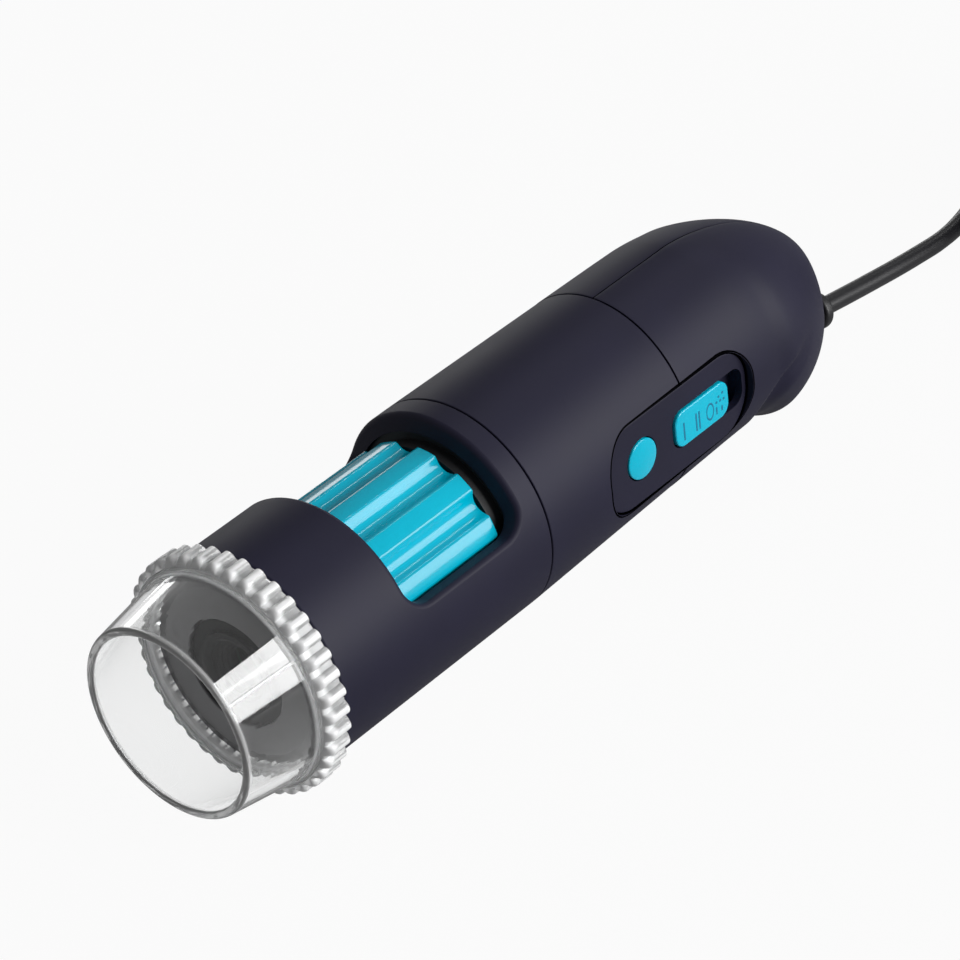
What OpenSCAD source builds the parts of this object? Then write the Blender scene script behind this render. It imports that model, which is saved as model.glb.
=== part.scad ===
// USB digital microscope lying on its side, cap to -X, cable to +X, buttons to -Y, parting line up.
// Origin: on the table, under the middle of the housing. The barrel's axis runs along X.

/* [Barrel] */
// outer diameter of the barrel at its front
barrel_d = 33; // [31:0.5:36]
// wall thickness of the front sleeve
wall = 2.5; // [2.3:0.1:2.8]
// length of the front sleeve
front_len = 42; // [40:0.5:46]
// length of the middle sleeve
mid_len = 31.4; // [30:0.2:34]
// length of the tail housing
tail_len = 47.7; // [45:0.3:51]

/* [Cap] */
// length of the clear shroud in front of the ribbed ring
shroud_len = 11.6; // [9:0.2:14]
// number of ribs round the cap's ring
cap_ribs = 40; // [32:4:44]
// how far the ribbed ring stands out from the barrel
ring_proud = 1.5; // [1.3:0.1:1.8]

/* [Focus] */
// number of ribs round the focus dial
dial_ribs = 12; // [10:1:13]
// lens travel for one full turn of the dial
focus_lead = 8; // [6:0.5:9]
// turn of the dial to each side, in degrees
dial_turn = 135; // [110:5:140]

/* [Controls] */
// length of the flat button plate
plate_len = 32.2; // [31:0.2:33.4]
// height of the flat button plate
plate_h = 13.4; // [12.8:0.1:13.8]
// diameter of the round button
button_d = 6.1; // [5.7:0.1:6.5]
// travel of the slide switch
slide_travel = 3.3; // [2.7:0.1:3.5]
// push of the round button
press_travel = 0.5; // [0.3:0.1:0.6]

/* [Cable] */
// diameter of the cable
cable_d = 2.9; // [2.7:0.1:3.1]
// outer radius of the coil, at the middle of the cable
coil_r = 21.5; // [21:0.5:24]

/* [Hidden] */
$fn = 96;

// Clearances
move_gap = 0.3;
seam_gap = 0.2;
run_gap = 0.05;
fit_gap = 0.02;

// Stations along the barrel, from the cap's rim
ring_len = 4.1;
ring_x = shroud_len;
ring_end = ring_x + ring_len;
front_x = ring_end + move_gap;
front_end = front_x + front_len;
mid_x = front_end + seam_gap;
mid_end = mid_x + mid_len;
tail_x = mid_end + seam_gap;
tail_end = tail_x + tail_len;
total_len = tail_end;

// Radii of the barrel and the cap
barrel_r = barrel_d / 2;
bore_r = barrel_r - wall;
crown_r = barrel_r + ring_proud;
rim_r = barrel_r - 2.3;
shroud_wall = 1.2;
shroud_end_r = barrel_r - 0.5;
rib_r = 0.9;
rim_chamfer = 0.25;

// Nose: face, spigot for the cap, light ring and hood
face_x = ring_x + 1.2;
face_r = bore_r - 1.4;
spigot_r = bore_r + 0.5;
cap_bore_r = spigot_r + run_gap;
well_r = 8.1;
hood_r = 6.1;
board_x = front_x + 0.5;
board_t = 1;
tube_in_r = bore_r - 1.6;
led_count = 8;

// Window in the front sleeve: rounded corners that flare outwards
window_x0 = front_x + 15;
window_x1 = front_end - 4;
window_mid = -2.5;
window_half = 77;
window_flare = 13.2;
flare_t = tan(window_flare);
apex_0 = window_x0 + barrel_r * flare_t;
apex_1 = window_x1 - barrel_r * flare_t;
corner_turn = window_half - window_flare;
corner_steps = 8;
window_steps = 2 * corner_steps + 26;

// Focus dial, its fixed core tube, and the lens carriage inside
dial_x0 = window_x0 - 1.2;
dial_x1 = window_x1 - 2.4;
dial_r = bore_r - 0.4;
dial_phase = 7.7;
valley_r = 2.19;
valley_c = dial_r + 0.89;
core_r = dial_r - 3.85;
carriage_r = core_r - 1.25;
carriage_front = 8.7;
carriage_back = 6.3;
core_bore_r = carriage_r + 2 * run_gap;
pin_x = (dial_x0 + dial_x1) / 2;
pin_r = 1;
groove_w = 2 * pin_r + move_gap;
groove_r = core_r + 1.55;
pin_tip_r = groove_r - move_gap;
groove_half = dial_turn + 10;
groove_steps = 29;
focus_travel = focus_lead * dial_turn / 360;
lens_r = carriage_r - 3.5;
core_end = window_x1 + 0.5;

// Joint ring between the sleeves, and the sensor on it
collar_x = dial_x1 + 0.4;
joint_x = window_x1 + 0.2;
joint_r = bore_r - fit_gap;
joint_end = mid_x + 3.8;
sensor_x = front_end - 2;
pocket_r = bore_r - 1.6;
screw_ring_r = pocket_r - 1.5;

// Middle sleeve and tail: outline of the housing along its length
mid_bore_r = barrel_r - 2.7;
pad_y = barrel_r - 5.3;
taper_x = front_end;
under_taper = 0.03;
side_taper = 0.02;
crown_x = tail_x + 15.7;
waist_x = tail_x + 22.2;
heel_x = tail_x + 29;
heel_drop = crown_r;
side_waist_x = tail_x + 20.3;
side_full_x = tail_x + 24;
side_full = barrel_r - 0.7;
// Fold in front of the heel: it starts under the barrel and swings back up its sides
fold_x = tail_x + 17.8;
fold_reach = 9;
fold_len = 5;
fold_dip = 0.6;
centre_x = tail_x + 10.2;
tail_z = -0.485 * barrel_r;
tail_wall = 2.2;
arc_steps = 28;
hollow_rings = 12;
back_rings = 10;
tail_rings = 2 * hollow_rings + back_rings;
hollow_end = tail_end - 8.5;
spigot_x = tail_x - 3.8;
spigot_out_r = mid_bore_r - fit_gap;
spigot_in_r = mid_bore_r - 1.6;
split_gap = 0.05;
// Pegs that line up the tail's halves: station, height and depth
peg_spots = [
    [tail_x + 26.7, 0.515 * barrel_r, 0.555 * barrel_r],
    [tail_x + 31.2, -0.727 * barrel_r, 0.505 * barrel_r]
];

// Button plate, button and slide switch; the plate's middle lies just in front of the tail's seam
plate_x = tail_x - 0.059006 * plate_len;
plate_y = barrel_r - 2.1;
plate_t = 1.2;
plate_in_y = plate_y - plate_t;
plate_corner = 0.45 * plate_h;
plate_gap = 0.2;
button_x = plate_x - 0.236 * plate_len;
control_z = 0;
button_r = button_d / 2;
button_top = plate_y + 0.5;
flange_top = plate_in_y - move_gap;
flange_low = plate_in_y - 0.9;
button_stem_y = pad_y - 0.3;
button_flange_r = button_r + 0.7;
knob_len = 0.3727 * plate_len;
knob_h = 5.7;
knob_x = plate_x - 0.0124 * plate_len;
knob_top = plate_y + 0.4;
knob_corner = 1.9;
slot_len = knob_len + slide_travel + 2 * move_gap;
slot_x = knob_x - move_gap;
slot_h = knob_h + 0.4;
slider_floor = flange_low - move_gap;
slider_flange = [knob_len, 7.3];
slider_open = [slot_len, slider_flange[1] + 2 * move_gap];
lever_w = 2.4;
lever_open = [lever_w + slide_travel + 0.8, lever_w + 2 * move_gap];

// Circuit board along the housing
pcb_y = 7.1;
pcb_t = 1.2;
pcb_x = mid_x + 4.3;
pcb_half = mid_bore_r - 2.1;
pcb_step_x = spigot_x - 0.6;
pcb_end = tail_x + 20.2;
tongue_half = 9.2;

// Cable exit: a necked collar in the parting line
exit_x = tail_end - 1.4;
exit_z = tail_z - 3.5;
exit_tilt = 9;
neck_r = 2.2;
collar_r = 2.9;
relief_in = -9.3;
relief_out = 5.2;
cable_r = cable_d / 2;
lie_z = cable_r + 0.05;
relief_dir = [cos(exit_tilt), 0, -sin(exit_tilt)];
exit_point = [exit_x, 0, exit_z + crown_r];
relief_tip = exit_point + relief_out * relief_dir;
relief_root = exit_point + relief_in * relief_dir;
header_x = pcb_end - 5;
header_len = 5;
header_t = 4;
header_low = 9;
header_high = 1;

// Coil: four layers, in and out again, then a bend over the top to the plug
coil_c = [tail_end + 65.5, -14];
coil_layers = 4;
coil_pitch = 3.85;
layer_rise = cable_d + 0.55;
bend_turn = 105;
bend_r = 12;
ring_step = 15;
wind_turn = 14 * 360 - bend_turn;
layer_turn = wind_turn / coil_layers - 180;
coil_in_r = coil_r - coil_pitch * layer_turn / 360;
plug_half_t = 3.9;
plug_body_len = 25;
plug_shell_len = 12;
plug_z = lie_z + (coil_layers - 1) * layer_rise + cable_r + plug_half_t + 0.1;
lead = 4;
bend_c = coil_c + (coil_r - bend_r) * [sin(wind_turn), cos(wind_turn)];
plug_x = bend_c[0] + lead;
plug_y = bend_c[1] + bend_r;

// Free stretch of the cable: distance past the tail, sideways, and height above the table
route = [
    for (p = [[10.5, 0, 4.6], [16.5, 0, 3.7], [22.5, 0, 2.85], [28.5, 0, 2.15], [34.5, 0, 1.65],
        [40.5, 0.6, 0], [46.5, 2.1, 0], [51.5, 4.3, 0], [55.5, 6.1, 0], [58.5, 7.2, 0]])
        [tail_end + p[0], p[1], max(p[2], lie_z)]
];
cable_path = concat(
    [relief_tip],
    route,
    [for (x = [lead + 1, lead]) [coil_c[0] - x, coil_c[1] + coil_r, lie_z]]
);
tail_path = [
    [header_x + header_len, -3.9, crown_r - 5],
    [header_x + header_len + 3, -3.9, crown_r - 5],
    [header_x + header_len + 7.5, -2.4, crown_r - 6.6],
    [header_x + header_len + 12, -0.6, crown_r - 8.6],
    relief_root - 2.5 * relief_dir,
    relief_root
];

// A step that rises smoothly from 0 to 1
function smooth(t) =
    let (c = min(max(t, 0), 1))
    c * c * (3 - 2 * c);

// A rounded fall from 1 to 0, blunt or slim by its two powers
function falling(t, p, q) =
    pow(max(1 - pow(min(max(t, 0), 1), p), 0), 1 / q);

// Outline of the housing: its top, its underside, its half width and its centre line
function top_z(x) =
    tail_z + (barrel_r - tail_z) * falling((x - crown_x) / (tail_end - crown_x), 1.6, 2.27);
function under_line(x) =
    barrel_r - under_taper * max(x - taper_x, 0);
function under_z(x) =
    let (s = smooth((x - waist_x) / (heel_x - waist_x)))
    x < heel_x
        ? -(under_line(x) * (1 - s) + heel_drop * s)
        : tail_z - (tail_z + heel_drop) * falling((x - heel_x) / (tail_end - heel_x), 2, 1.2);
function side_line(x) =
    barrel_r - side_taper * max(x - taper_x, 0);
function side_y(x) =
    let (s = smooth((x - side_waist_x) / (side_full_x - side_waist_x)))
    x < side_full_x
        ? side_line(x) * (1 - s) + side_full * s
        : side_full * falling((x - side_full_x) / (tail_end - side_full_x), 1.57, 1.37);
function centre_z(x) =
    tail_z * pow(min(max((x - centre_x) / (tail_end - centre_x), 0), 1), 2);

// Depth of the fold: it drops at once behind its edge and rises again gently
function fold(x, a) =
    let (t = min(max((x - fold_x - fold_reach * pow(1 - abs(cos(a)), 3)) / fold_len, 0), 1))
    fold_dip * 6.75 * t * pow(1 - t, 2);

// A point of the housing at station x, angle a from the top towards the buttons, set in by inset
function skin(x, a, inset = 0) =
    let (c = centre_z(x))
    let (up = cos(a) > 0 ? top_z(x) - c - inset : c - under_z(x) - fold(x, a) - inset)
    [x, -(side_y(x) - inset) * sin(a), c + up * cos(a)];

// Points and faces of a tube along a path that is never upright
function unit(v) = v / norm(v);
function heading(path, i) =
    unit(path[min(i + 1, len(path) - 1)] - path[max(i - 1, 0)]);
function ring_at(p, t, r, sides) =
    let (s = unit(cross(t, [0, 0, 1])))
    let (u = cross(s, t))
    [for (j = [0:sides - 1]) p + r * (s * cos(360 * j / sides) + u * sin(360 * j / sides))];
function sweep_faces(rings, sides) = concat(
    [[for (j = [sides - 1:-1:0]) j]],
    [for (i = [0:rings - 2], j = [0:sides - 1], k = [0, 1])
        let (a = i * sides + j)
        let (b = i * sides + (j + 1) % sides)
        k == 0 ? [a, b, b + sides] : [a, b + sides, a + sides]],
    [[for (j = [0:sides - 1]) (rings - 1) * sides + j]]
);

// Centre line of the coil
function wound(b) =
    let (k = min(floor(b / (layer_turn + 180)), coil_layers - 1))
    let (d = b - k * (layer_turn + 180))
    let (f = min(d / layer_turn, 1))
    let (c = smooth((d - layer_turn) / 180))
    let (r = k % 2 == 0 ? coil_r + (coil_in_r - coil_r) * f : coil_in_r + (coil_r - coil_in_r) * f)
    let (low = lie_z + k * layer_rise)
    let (high = k == coil_layers - 1 ? plug_z : low + layer_rise)
    [coil_c[0] + r * sin(b), coil_c[1] + r * cos(b), low + (high - low) * c];
coil_path = concat(
    [[coil_c[0] - lead, coil_c[1] + coil_r, lie_z]],
    [for (b = [0:ring_step:wind_turn]) wound(b)],
    [for (b = [ring_step:ring_step:bend_turn])
        [bend_c[0] + bend_r * sin(wind_turn + b), bend_c[1] + bend_r * cos(wind_turn + b), plug_z]],
    [[plug_x, plug_y, plug_z]]
);
// The least gap between turns, over pairs that are more than half a loop apart
coil_gap = function() min([
    for (i = [0:len(coil_path) - 1])
        for (j = [i + 12:1:len(coil_path) - 1])
            norm(coil_path[i] - coil_path[j])
]) - cable_d;
coil_length = function() [
    for (i = [1:len(coil_path) - 1]) norm(coil_path[i] - coil_path[i - 1])
] * [for (i = [1:len(coil_path) - 1]) 1];

// Frames: the barrel's own frame, shapes turned about its axis, and the table
module in_barrel() {
    translate([-total_len / 2, 0, crown_r])
        children();
}
module on_axis() {
    in_barrel()
        rotate([0, 90, 0])
            children();
}
module on_table() {
    translate([-total_len / 2, 0, 0])
        children();
}
// An outline in X and Z, drawn outwards to -Y between two depths
module towards_buttons(y0, y1) {
    translate([0, -y0, 0])
        rotate([90, 0, 0])
            linear_extrude(y1 - y0)
                children();
}
module rounded(l, h, r) {
    square([l - 2 * r, h], center = true);
    square([l, h - 2 * r], center = true);
    for (x = [-1, 1], y = [-1, 1])
        translate([x * (l / 2 - r), y * (h / 2 - r)])
            circle(r = r);
}
module block(low, high) {
    translate(low)
        cube(high - low);
}
module tube_along(path, r, sides) {
    polyhedron(
        [for (i = [0:len(path) - 1]) each ring_at(path[i], heading(path, i), r, sides)],
        sweep_faces(len(path), sides)
    );
}

// Cap: conical clear shroud and ribbed ring
module rib_outline() {
    difference() {
        union() {
            circle(r = crown_r - rib_r);
            for (i = [0:cap_ribs - 1])
                rotate(360 * i / cap_ribs)
                    translate([crown_r - rib_r, 0])
                        circle(r = rib_r, $fn = 32);
        }
        circle(r = cap_bore_r);
    }
}
module ring_profile() {
    front_round = 1;
    back_round = 0.4;
    out_r = crown_r + 0.1;
    translate([0, ring_x + front_round])
        square([out_r, ring_len - front_round - back_round]);
    translate([0, ring_x])
        square([out_r - front_round, ring_len - back_round]);
    translate([0, ring_end - front_round])
        square([out_r - back_round, front_round]);
    translate([out_r - front_round, ring_x + front_round])
        circle(r = front_round);
    translate([out_r - back_round, ring_end - back_round])
        circle(r = back_round);
}
module clear_cap() {
    in_r = rim_r - shroud_wall;
    color([0.92, 0.95, 0.96, 0.4])
        on_axis() {
            rotate_extrude()
                polygon([
                    [in_r + rim_chamfer, 0], [rim_r - rim_chamfer, 0], [rim_r, rim_chamfer],
                    [shroud_end_r, ring_x + 0.2], [shroud_end_r - shroud_wall, ring_x + 0.2],
                    [in_r, rim_chamfer]
                ]);
            intersection() {
                translate([0, 0, ring_x])
                    linear_extrude(ring_len)
                        rib_outline();
                rotate_extrude()
                    ring_profile();
            }
        }
}

// Nose
module nose_bezel() {
    color([0.2, 0.2, 0.22])
        on_axis()
            rotate_extrude()
                polygon([
                    [well_r, face_x], [face_r, face_x], [spigot_r - fit_gap, face_x + 0.7],
                    [spigot_r - fit_gap, dial_x0 - move_gap], [tube_in_r, dial_x0 - move_gap],
                    [tube_in_r, board_x], [well_r, board_x]
                ]);
}
module led_diffuser() {
    color([0.08, 0.08, 0.09])
        on_axis()
            translate([0, 0, face_x + 0.6])
                linear_extrude(1.6)
                    difference() {
                        circle(r = well_r - fit_gap);
                        circle(r = hood_r + fit_gap);
                    }
}
module lens_hood() {
    color([0.3, 0.3, 0.32])
        on_axis()
            rotate_extrude()
                polygon([
                    [hood_r - 0.9, face_x + 0.1], [hood_r, face_x + 0.1], [hood_r, board_x],
                    [3, board_x], [2.6, board_x - 1.2]
                ]);
}
module led_board() {
    color([0.1, 0.3, 0.2])
        on_axis()
            translate([0, 0, board_x])
                linear_extrude(board_t)
                    difference() {
                        circle(r = tube_in_r - fit_gap);
                        circle(r = 4);
                    }
}
module leds() {
    color([0.95, 0.9, 0.6])
        on_axis()
            for (i = [0:led_count - 1])
                rotate(360 * i / led_count)
                    translate([(well_r + hood_r) / 2 - 0.7, -0.8, board_x - 0.9])
                        cube([1.4, 1.6, 0.9]);
}

// Front sleeve with its window: radial walls, round corners that widen outwards
function window_ring(k) =
    let (mid = window_steps - 2 * corner_steps)
    let (low = k <= corner_steps)
    let (high = k >= window_steps - corner_steps)
    let (past = k - window_steps + corner_steps)
    let (lean = low ? 90 * (k / corner_steps - 1) : high ? 90 * past / corner_steps : 0)
    let (turn = low ? -corner_turn : high ? corner_turn : corner_turn * (2 * (k - corner_steps) / mid - 1))
    let (a = 90 + window_mid + turn + atan(flare_t * sin(lean)))
    let (out = flare_t * cos(lean) / sqrt(1 + pow(flare_t * sin(lean), 2)))
    let (near = bore_r - 4)
    let (far = barrel_r + 3)
    [for (c = [[near, -1], [far, -1], [far, 1], [near, 1]])
        [-c[0] * sin(a), c[0] * cos(a), (c[1] < 0 ? apex_0 : apex_1) + c[1] * c[0] * out]];
module window_cut() {
    polyhedron(
        [for (k = [0:window_steps]) each window_ring(k)],
        sweep_faces(window_steps + 1, 4)
    );
}
module front_sleeve() {
    edge = 0.5;
    color([0.22, 0.22, 0.27])
        on_axis()
            difference() {
                rotate_extrude()
                    polygon([
                        [spigot_r, front_x], [barrel_r - edge, front_x], [barrel_r, front_x + edge],
                        [barrel_r, front_end], [bore_r, front_end],
                        [bore_r, dial_x0 - move_gap], [spigot_r, dial_x0 - move_gap]
                    ]);
                window_cut();
            }
}

// Focus mechanism: helical grooves in the dial drive the carriage's pins along the core's slots
function groove_ring(i, start) =
    let (a = groove_half * (2 * i / groove_steps - 1))
    let (x = pin_x - focus_lead * a / 360)
    [for (c = [[core_r - 0.3, -1], [groove_r, -1], [groove_r, 1], [core_r - 0.3, 1]])
        [-c[0] * sin(start + a), c[0] * cos(start + a), x + c[1] * groove_w / 2]];
module helix_groove(start) {
    polyhedron(
        [for (i = [0:groove_steps]) each groove_ring(i, start)],
        sweep_faces(groove_steps + 1, 4)
    );
}
module focus_dial() {
    edge = 0.5;
    color([0.0, 0.72, 0.82])
        on_axis()
            difference() {
                intersection() {
                    translate([0, 0, dial_x0])
                        linear_extrude(dial_x1 - dial_x0)
                            difference() {
                                circle(r = dial_r);
                                circle(r = core_r + run_gap);
                                for (i = [0:dial_ribs - 1])
                                    rotate(180 + dial_phase + 360 / dial_ribs * (i + 0.5))
                                        translate([valley_c, 0])
                                            circle(r = valley_r);
                            }
                    rotate_extrude()
                        polygon([
                            [0, dial_x0], [dial_r - edge, dial_x0], [dial_r, dial_x0 + edge],
                            [dial_r, dial_x1 - edge], [dial_r - edge, dial_x1], [0, dial_x1]
                        ]);
                }
                for (start = [0, 180])
                    helix_groove(start);
            }
}
module core_tube() {
    flange_x = board_x + board_t;
    slot_half = focus_travel + pin_r + move_gap;
    color([0.15, 0.15, 0.16])
        on_axis()
            difference() {
                rotate_extrude()
                    polygon([
                        [core_bore_r, flange_x], [tube_in_r - fit_gap, flange_x],
                        [tube_in_r - fit_gap, flange_x + 2.4], [core_r, flange_x + 2.4],
                        [core_r, core_end], [core_bore_r, core_end]
                    ]);
                translate([-groove_w / 2, -core_r - 1, pin_x - slot_half])
                    cube([groove_w, 2 * core_r + 2, 2 * slot_half]);
            }
}
module pin_holes() {
    for (s = [90, -90])
        translate([0, 0, pin_x])
            rotate([s, 0, 0])
                translate([0, 0, lens_r + 1.2])
                    cylinder(h = pin_tip_r - lens_r - 1.2, r = pin_r);
}
module lens_carriage() {
    front = pin_x - carriage_front;
    back = pin_x + carriage_back;
    color([0.12, 0.12, 0.13])
        on_axis()
            difference() {
                rotate_extrude()
                    polygon([
                        [lens_r, front], [carriage_r, front], [carriage_r, back],
                        [lens_r - 1.2, back], [lens_r - 1.2, back - 3], [lens_r, back - 3]
                    ]);
                pin_holes();
            }
}
module cam_pins() {
    color([0.75, 0.76, 0.78])
        on_axis()
            pin_holes();
}
// A lens with two bulging faces and a flat rim
module lens(x0, t, bulge) {
    r = lens_r - fit_gap;
    sphere_r = (r * r + bulge * bulge) / (2 * bulge);
    rotate_extrude()
        intersection() {
            translate([0, x0])
                square([r, t]);
            translate([0, x0 + sphere_r])
                circle(r = sphere_r);
            translate([0, x0 + t - sphere_r])
                circle(r = sphere_r);
        }
}
module front_lens() {
    color([0.75, 0.85, 0.95, 0.5])
        on_axis()
            lens(pin_x - 6.7, 3, 0.9);
}
module rear_lens() {
    color([0.75, 0.85, 0.95, 0.5])
        on_axis()
            lens(pin_x + 0.3, 3, 0.7);
}
module lens_spacer() {
    color([0.1, 0.1, 0.1])
        on_axis()
            translate([0, 0, pin_x - 3.7])
                linear_extrude(4)
                    difference() {
                        circle(r = lens_r - fit_gap);
                        circle(r = lens_r - 0.6);
                    }
}
module lens_ring() {
    color([0.1, 0.1, 0.1])
        on_axis()
            translate([0, 0, pin_x - 8.2])
                linear_extrude(1.5)
                    difference() {
                        circle(r = lens_r - fit_gap);
                        circle(r = lens_r - 1.2);
                    }
}

// Joint ring that both sleeves plug onto, with the sensor board in its pocket
module joint_ring() {
    color([0.1, 0.1, 0.11])
        on_axis()
            difference() {
                rotate_extrude()
                    polygon([
                        [core_r + fit_gap, collar_x], [joint_r - 1.5, collar_x], [joint_r - 1.5, joint_x],
                        [joint_r, joint_x], [joint_r, joint_end], [pocket_r, joint_end],
                        [pocket_r, sensor_x], [core_r + fit_gap, sensor_x]
                    ]);
                for (s = [-1, 1])
                    translate([s * screw_ring_r, 0, sensor_x - 3.2])
                        cylinder(h = 4, r = 0.75);
            }
}
module sensor_board() {
    color([0.1, 0.3, 0.2])
        on_axis()
            translate([0, 0, sensor_x])
                linear_extrude(1.2)
                    difference() {
                        circle(r = pocket_r - 0.2);
                        for (s = [-1, 1])
                            translate([s * screw_ring_r, 0])
                                circle(r = 0.85);
                    }
}
module image_sensor() {
    color([0.15, 0.15, 0.2])
        on_axis()
            translate([-3.5, -3.5, sensor_x - 1])
                cube([7, 7, 1]);
}
module sensor_screws() {
    color([0.7, 0.7, 0.72])
        on_axis()
            for (s = [-1, 1])
                translate([s * screw_ring_r, 0, sensor_x - 3])
                    rotate_extrude()
                        polygon([[0, 0], [0.75, 0], [0.75, 4.2], [1.25, 4.2], [1.25, 5.2], [0, 5.2]]);
}
module sensor_flex() {
    color([0.75, 0.5, 0.15])
        in_barrel()
            block([sensor_x + 1.2, -pcb_y + pcb_t, -4], [pcb_x + 3.5, -pcb_y + pcb_t + 0.3, 4]);
}

// Housing
module housing_loft(x0, x1) {
    sides = 2 * arc_steps;
    polyhedron(
        [for (x = [x0, x1], j = [0:sides - 1]) skin(x, 360 * j / sides)],
        concat(
            [[for (j = [0:sides - 1]) j]],
            [for (j = [0:sides - 1], k = [0, 1])
                let (a = j)
                let (b = (j + 1) % sides)
                k == 0 ? [a, a + sides, b + sides] : [a, b + sides, b]],
            [[for (j = [sides - 1:-1:0]) sides + j]]
        )
    );
}
module plate_recess() {
    translate([plate_x, 0, 0])
        towards_buttons(plate_in_y, plate_in_y + 8)
            rounded(plate_len + 2 * plate_gap, plate_h + 2 * plate_gap, plate_corner + plate_gap);
}
module control_openings() {
    translate([button_x, 0, control_z])
        towards_buttons(pad_y - 3, plate_in_y + 0.5)
            circle(r = button_flange_r + 0.3);
    translate([knob_x + knob_len / 2 + slide_travel / 2, 0, control_z]) {
        towards_buttons(slider_floor, plate_in_y + 0.5)
            square(slider_open, center = true);
        towards_buttons(pad_y - 3, slider_floor + 0.5)
            square(lever_open, center = true);
    }
}
module bore_outline() {
    difference() {
        circle(r = mid_bore_r);
        translate([-barrel_r, -pad_y - barrel_r])
            square([barrel_d, barrel_r]);
    }
}
module mid_sleeve() {
    color([0.22, 0.22, 0.27])
        in_barrel() {
            difference() {
                housing_loft(mid_x, mid_end);
                rotate([0, 90, 0]) {
                    translate([0, 0, mid_x - 1])
                        linear_extrude(mid_len + 2)
                            bore_outline();
                    translate([0, 0, mid_x - 1])
                        cylinder(h = joint_end - mid_x + 1, r = bore_r);
                }
                plate_recess();
                control_openings();
            }
            for (s = [0, 1])
                mirror([0, 0, s])
                    block([joint_end + 1, -pcb_y + pcb_t, pcb_half - 1.4],
                        [spigot_x - 0.5, -pcb_y + pcb_t + 1.2, mid_bore_r - 0.4]);
        }
}
// One half of the tail as a closed shell: outer skin, hollow, front rim and parting face
module half_shell() {
    m = arc_steps + 1;
    outer_x = concat(
        [for (i = [0:2 * hollow_rings]) tail_x + (hollow_end - tail_x) * i / (2 * hollow_rings)],
        [for (i = [1:back_rings - 1]) hollow_end + (tail_end - hollow_end) * sin(90 * i / back_rings)]
    );
    inner_x = [for (i = [0:hollow_rings]) outer_x[2 * i]];
    outer = [for (x = outer_x, j = [0:arc_steps]) skin(x, 180 * j / arc_steps)];
    inner = [for (x = inner_x, j = [0:arc_steps]) skin(x, 180 * j / arc_steps, tail_wall)];
    tip = len(outer);
    base = tip + 1;
    end = base + len(inner);
    last_o = (tail_rings - 1) * m;
    last_i = base + hollow_rings * m;
    // vertices along the parting face, above and below
    ot = [for (i = [0:tail_rings - 1]) i * m];
    ob = [for (i = [0:tail_rings - 1]) i * m + arc_steps];
    it = [for (i = [0:hollow_rings]) base + i * m];
    ib = [for (i = [0:hollow_rings]) base + i * m + arc_steps];
    behind = concat(
        [ib[hollow_rings]],
        [for (i = [2 * hollow_rings + 1:tail_rings - 1]) ob[i]],
        [tip],
        [for (i = [tail_rings - 1:-1:2 * hollow_rings + 1]) ot[i]],
        [it[hollow_rings]]
    );
    polyhedron(
        concat(outer, [[tail_end, 0, tail_z]], inner, [[hollow_end, 0, centre_z(hollow_end)]]),
        concat(
            [for (i = [0:tail_rings - 2], j = [0:arc_steps - 1], k = [0, 1])
                let (a = i * m + j)
                k == 0 ? [a, a + m, a + m + 1] : [a, a + m + 1, a + 1]],
            [for (j = [0:arc_steps - 1]) [last_o + j, tip, last_o + j + 1]],
            [for (i = [0:hollow_rings - 1], j = [0:arc_steps - 1], k = [0, 1])
                let (a = base + i * m + j)
                k == 0 ? [a, a + m + 1, a + m] : [a, a + 1, a + m + 1]],
            [for (j = [0:arc_steps - 1]) [last_i + j, last_i + j + 1, end]],
            [for (j = [0:arc_steps - 1], k = [0, 1])
                k == 0 ? [j, j + 1, base + j + 1] : [j, base + j + 1, base + j]],
            [for (i = [0:hollow_rings - 1]) each [
                [ot[2 * i + 1], ot[2 * i], it[i]],
                [ot[2 * i + 1], it[i], it[i + 1]],
                [ot[2 * i + 2], ot[2 * i + 1], it[i + 1]],
                [ib[i], ob[2 * i], ob[2 * i + 1]],
                [ib[i + 1], ib[i], ob[2 * i + 1]],
                [ib[i + 1], ob[2 * i + 1], ob[2 * i + 2]]
            ]],
            [
                [ib[hollow_rings], ob[2 * hollow_rings], ob[2 * hollow_rings + 1]],
                [ot[2 * hollow_rings + 1], ot[2 * hollow_rings], it[hollow_rings]]
            ],
            [for (i = [0:len(behind) - 2]) [end, behind[i], behind[i + 1]]]
        )
    );
}
// Half of the ring that plugs into the middle sleeve
module tail_spigot() {
    lip = tail_x - seam_gap / 4;
    rotate([0, 90, 0])
        rotate(181)
            rotate_extrude(angle = 178)
                polygon([
                    [spigot_in_r, spigot_x], [spigot_out_r, spigot_x], [spigot_out_r, lip],
                    [barrel_r - 1.4, lip], [barrel_r - 1.4, tail_x + 3], [spigot_in_r, tail_x + 3]
                ]);
}
module relief_hole() {
    translate([exit_x, 0, exit_z])
        rotate([0, 90 + exit_tilt, 0])
            translate([0, 0, relief_in + 1])
                cylinder(h = 16, r = neck_r + fit_gap);
}
module tail_shell_near() {
    color([0.2, 0.2, 0.25])
        in_barrel()
            translate([0, -split_gap, 0])
                difference() {
                    union() {
                        half_shell();
                        tail_spigot();
                        block([tail_x + 0.1, -plate_in_y - 0.3, -plate_h / 2 - 0.1],
                            [plate_x + plate_len / 2 + 2, -pad_y, plate_h / 2 + 0.1]);
                        for (p = peg_spots)
                            translate([p[0], 0, p[1]])
                                towards_buttons(0, p[2])
                                    circle(r = 2.2, $fn = 32);
                    }
                    block([spigot_x - 1, -barrel_r, -barrel_r],
                        [tail_x - seam_gap / 8, -pad_y + 0.1, barrel_r]);
                    translate([0, split_gap, 0]) {
                        plate_recess();
                        control_openings();
                    }
                    relief_hole();
                    for (p = peg_spots)
                        translate([p[0], 0, p[1]])
                            towards_buttons(-1, 4)
                                circle(r = 1.1, $fn = 32);
                }
}
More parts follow.
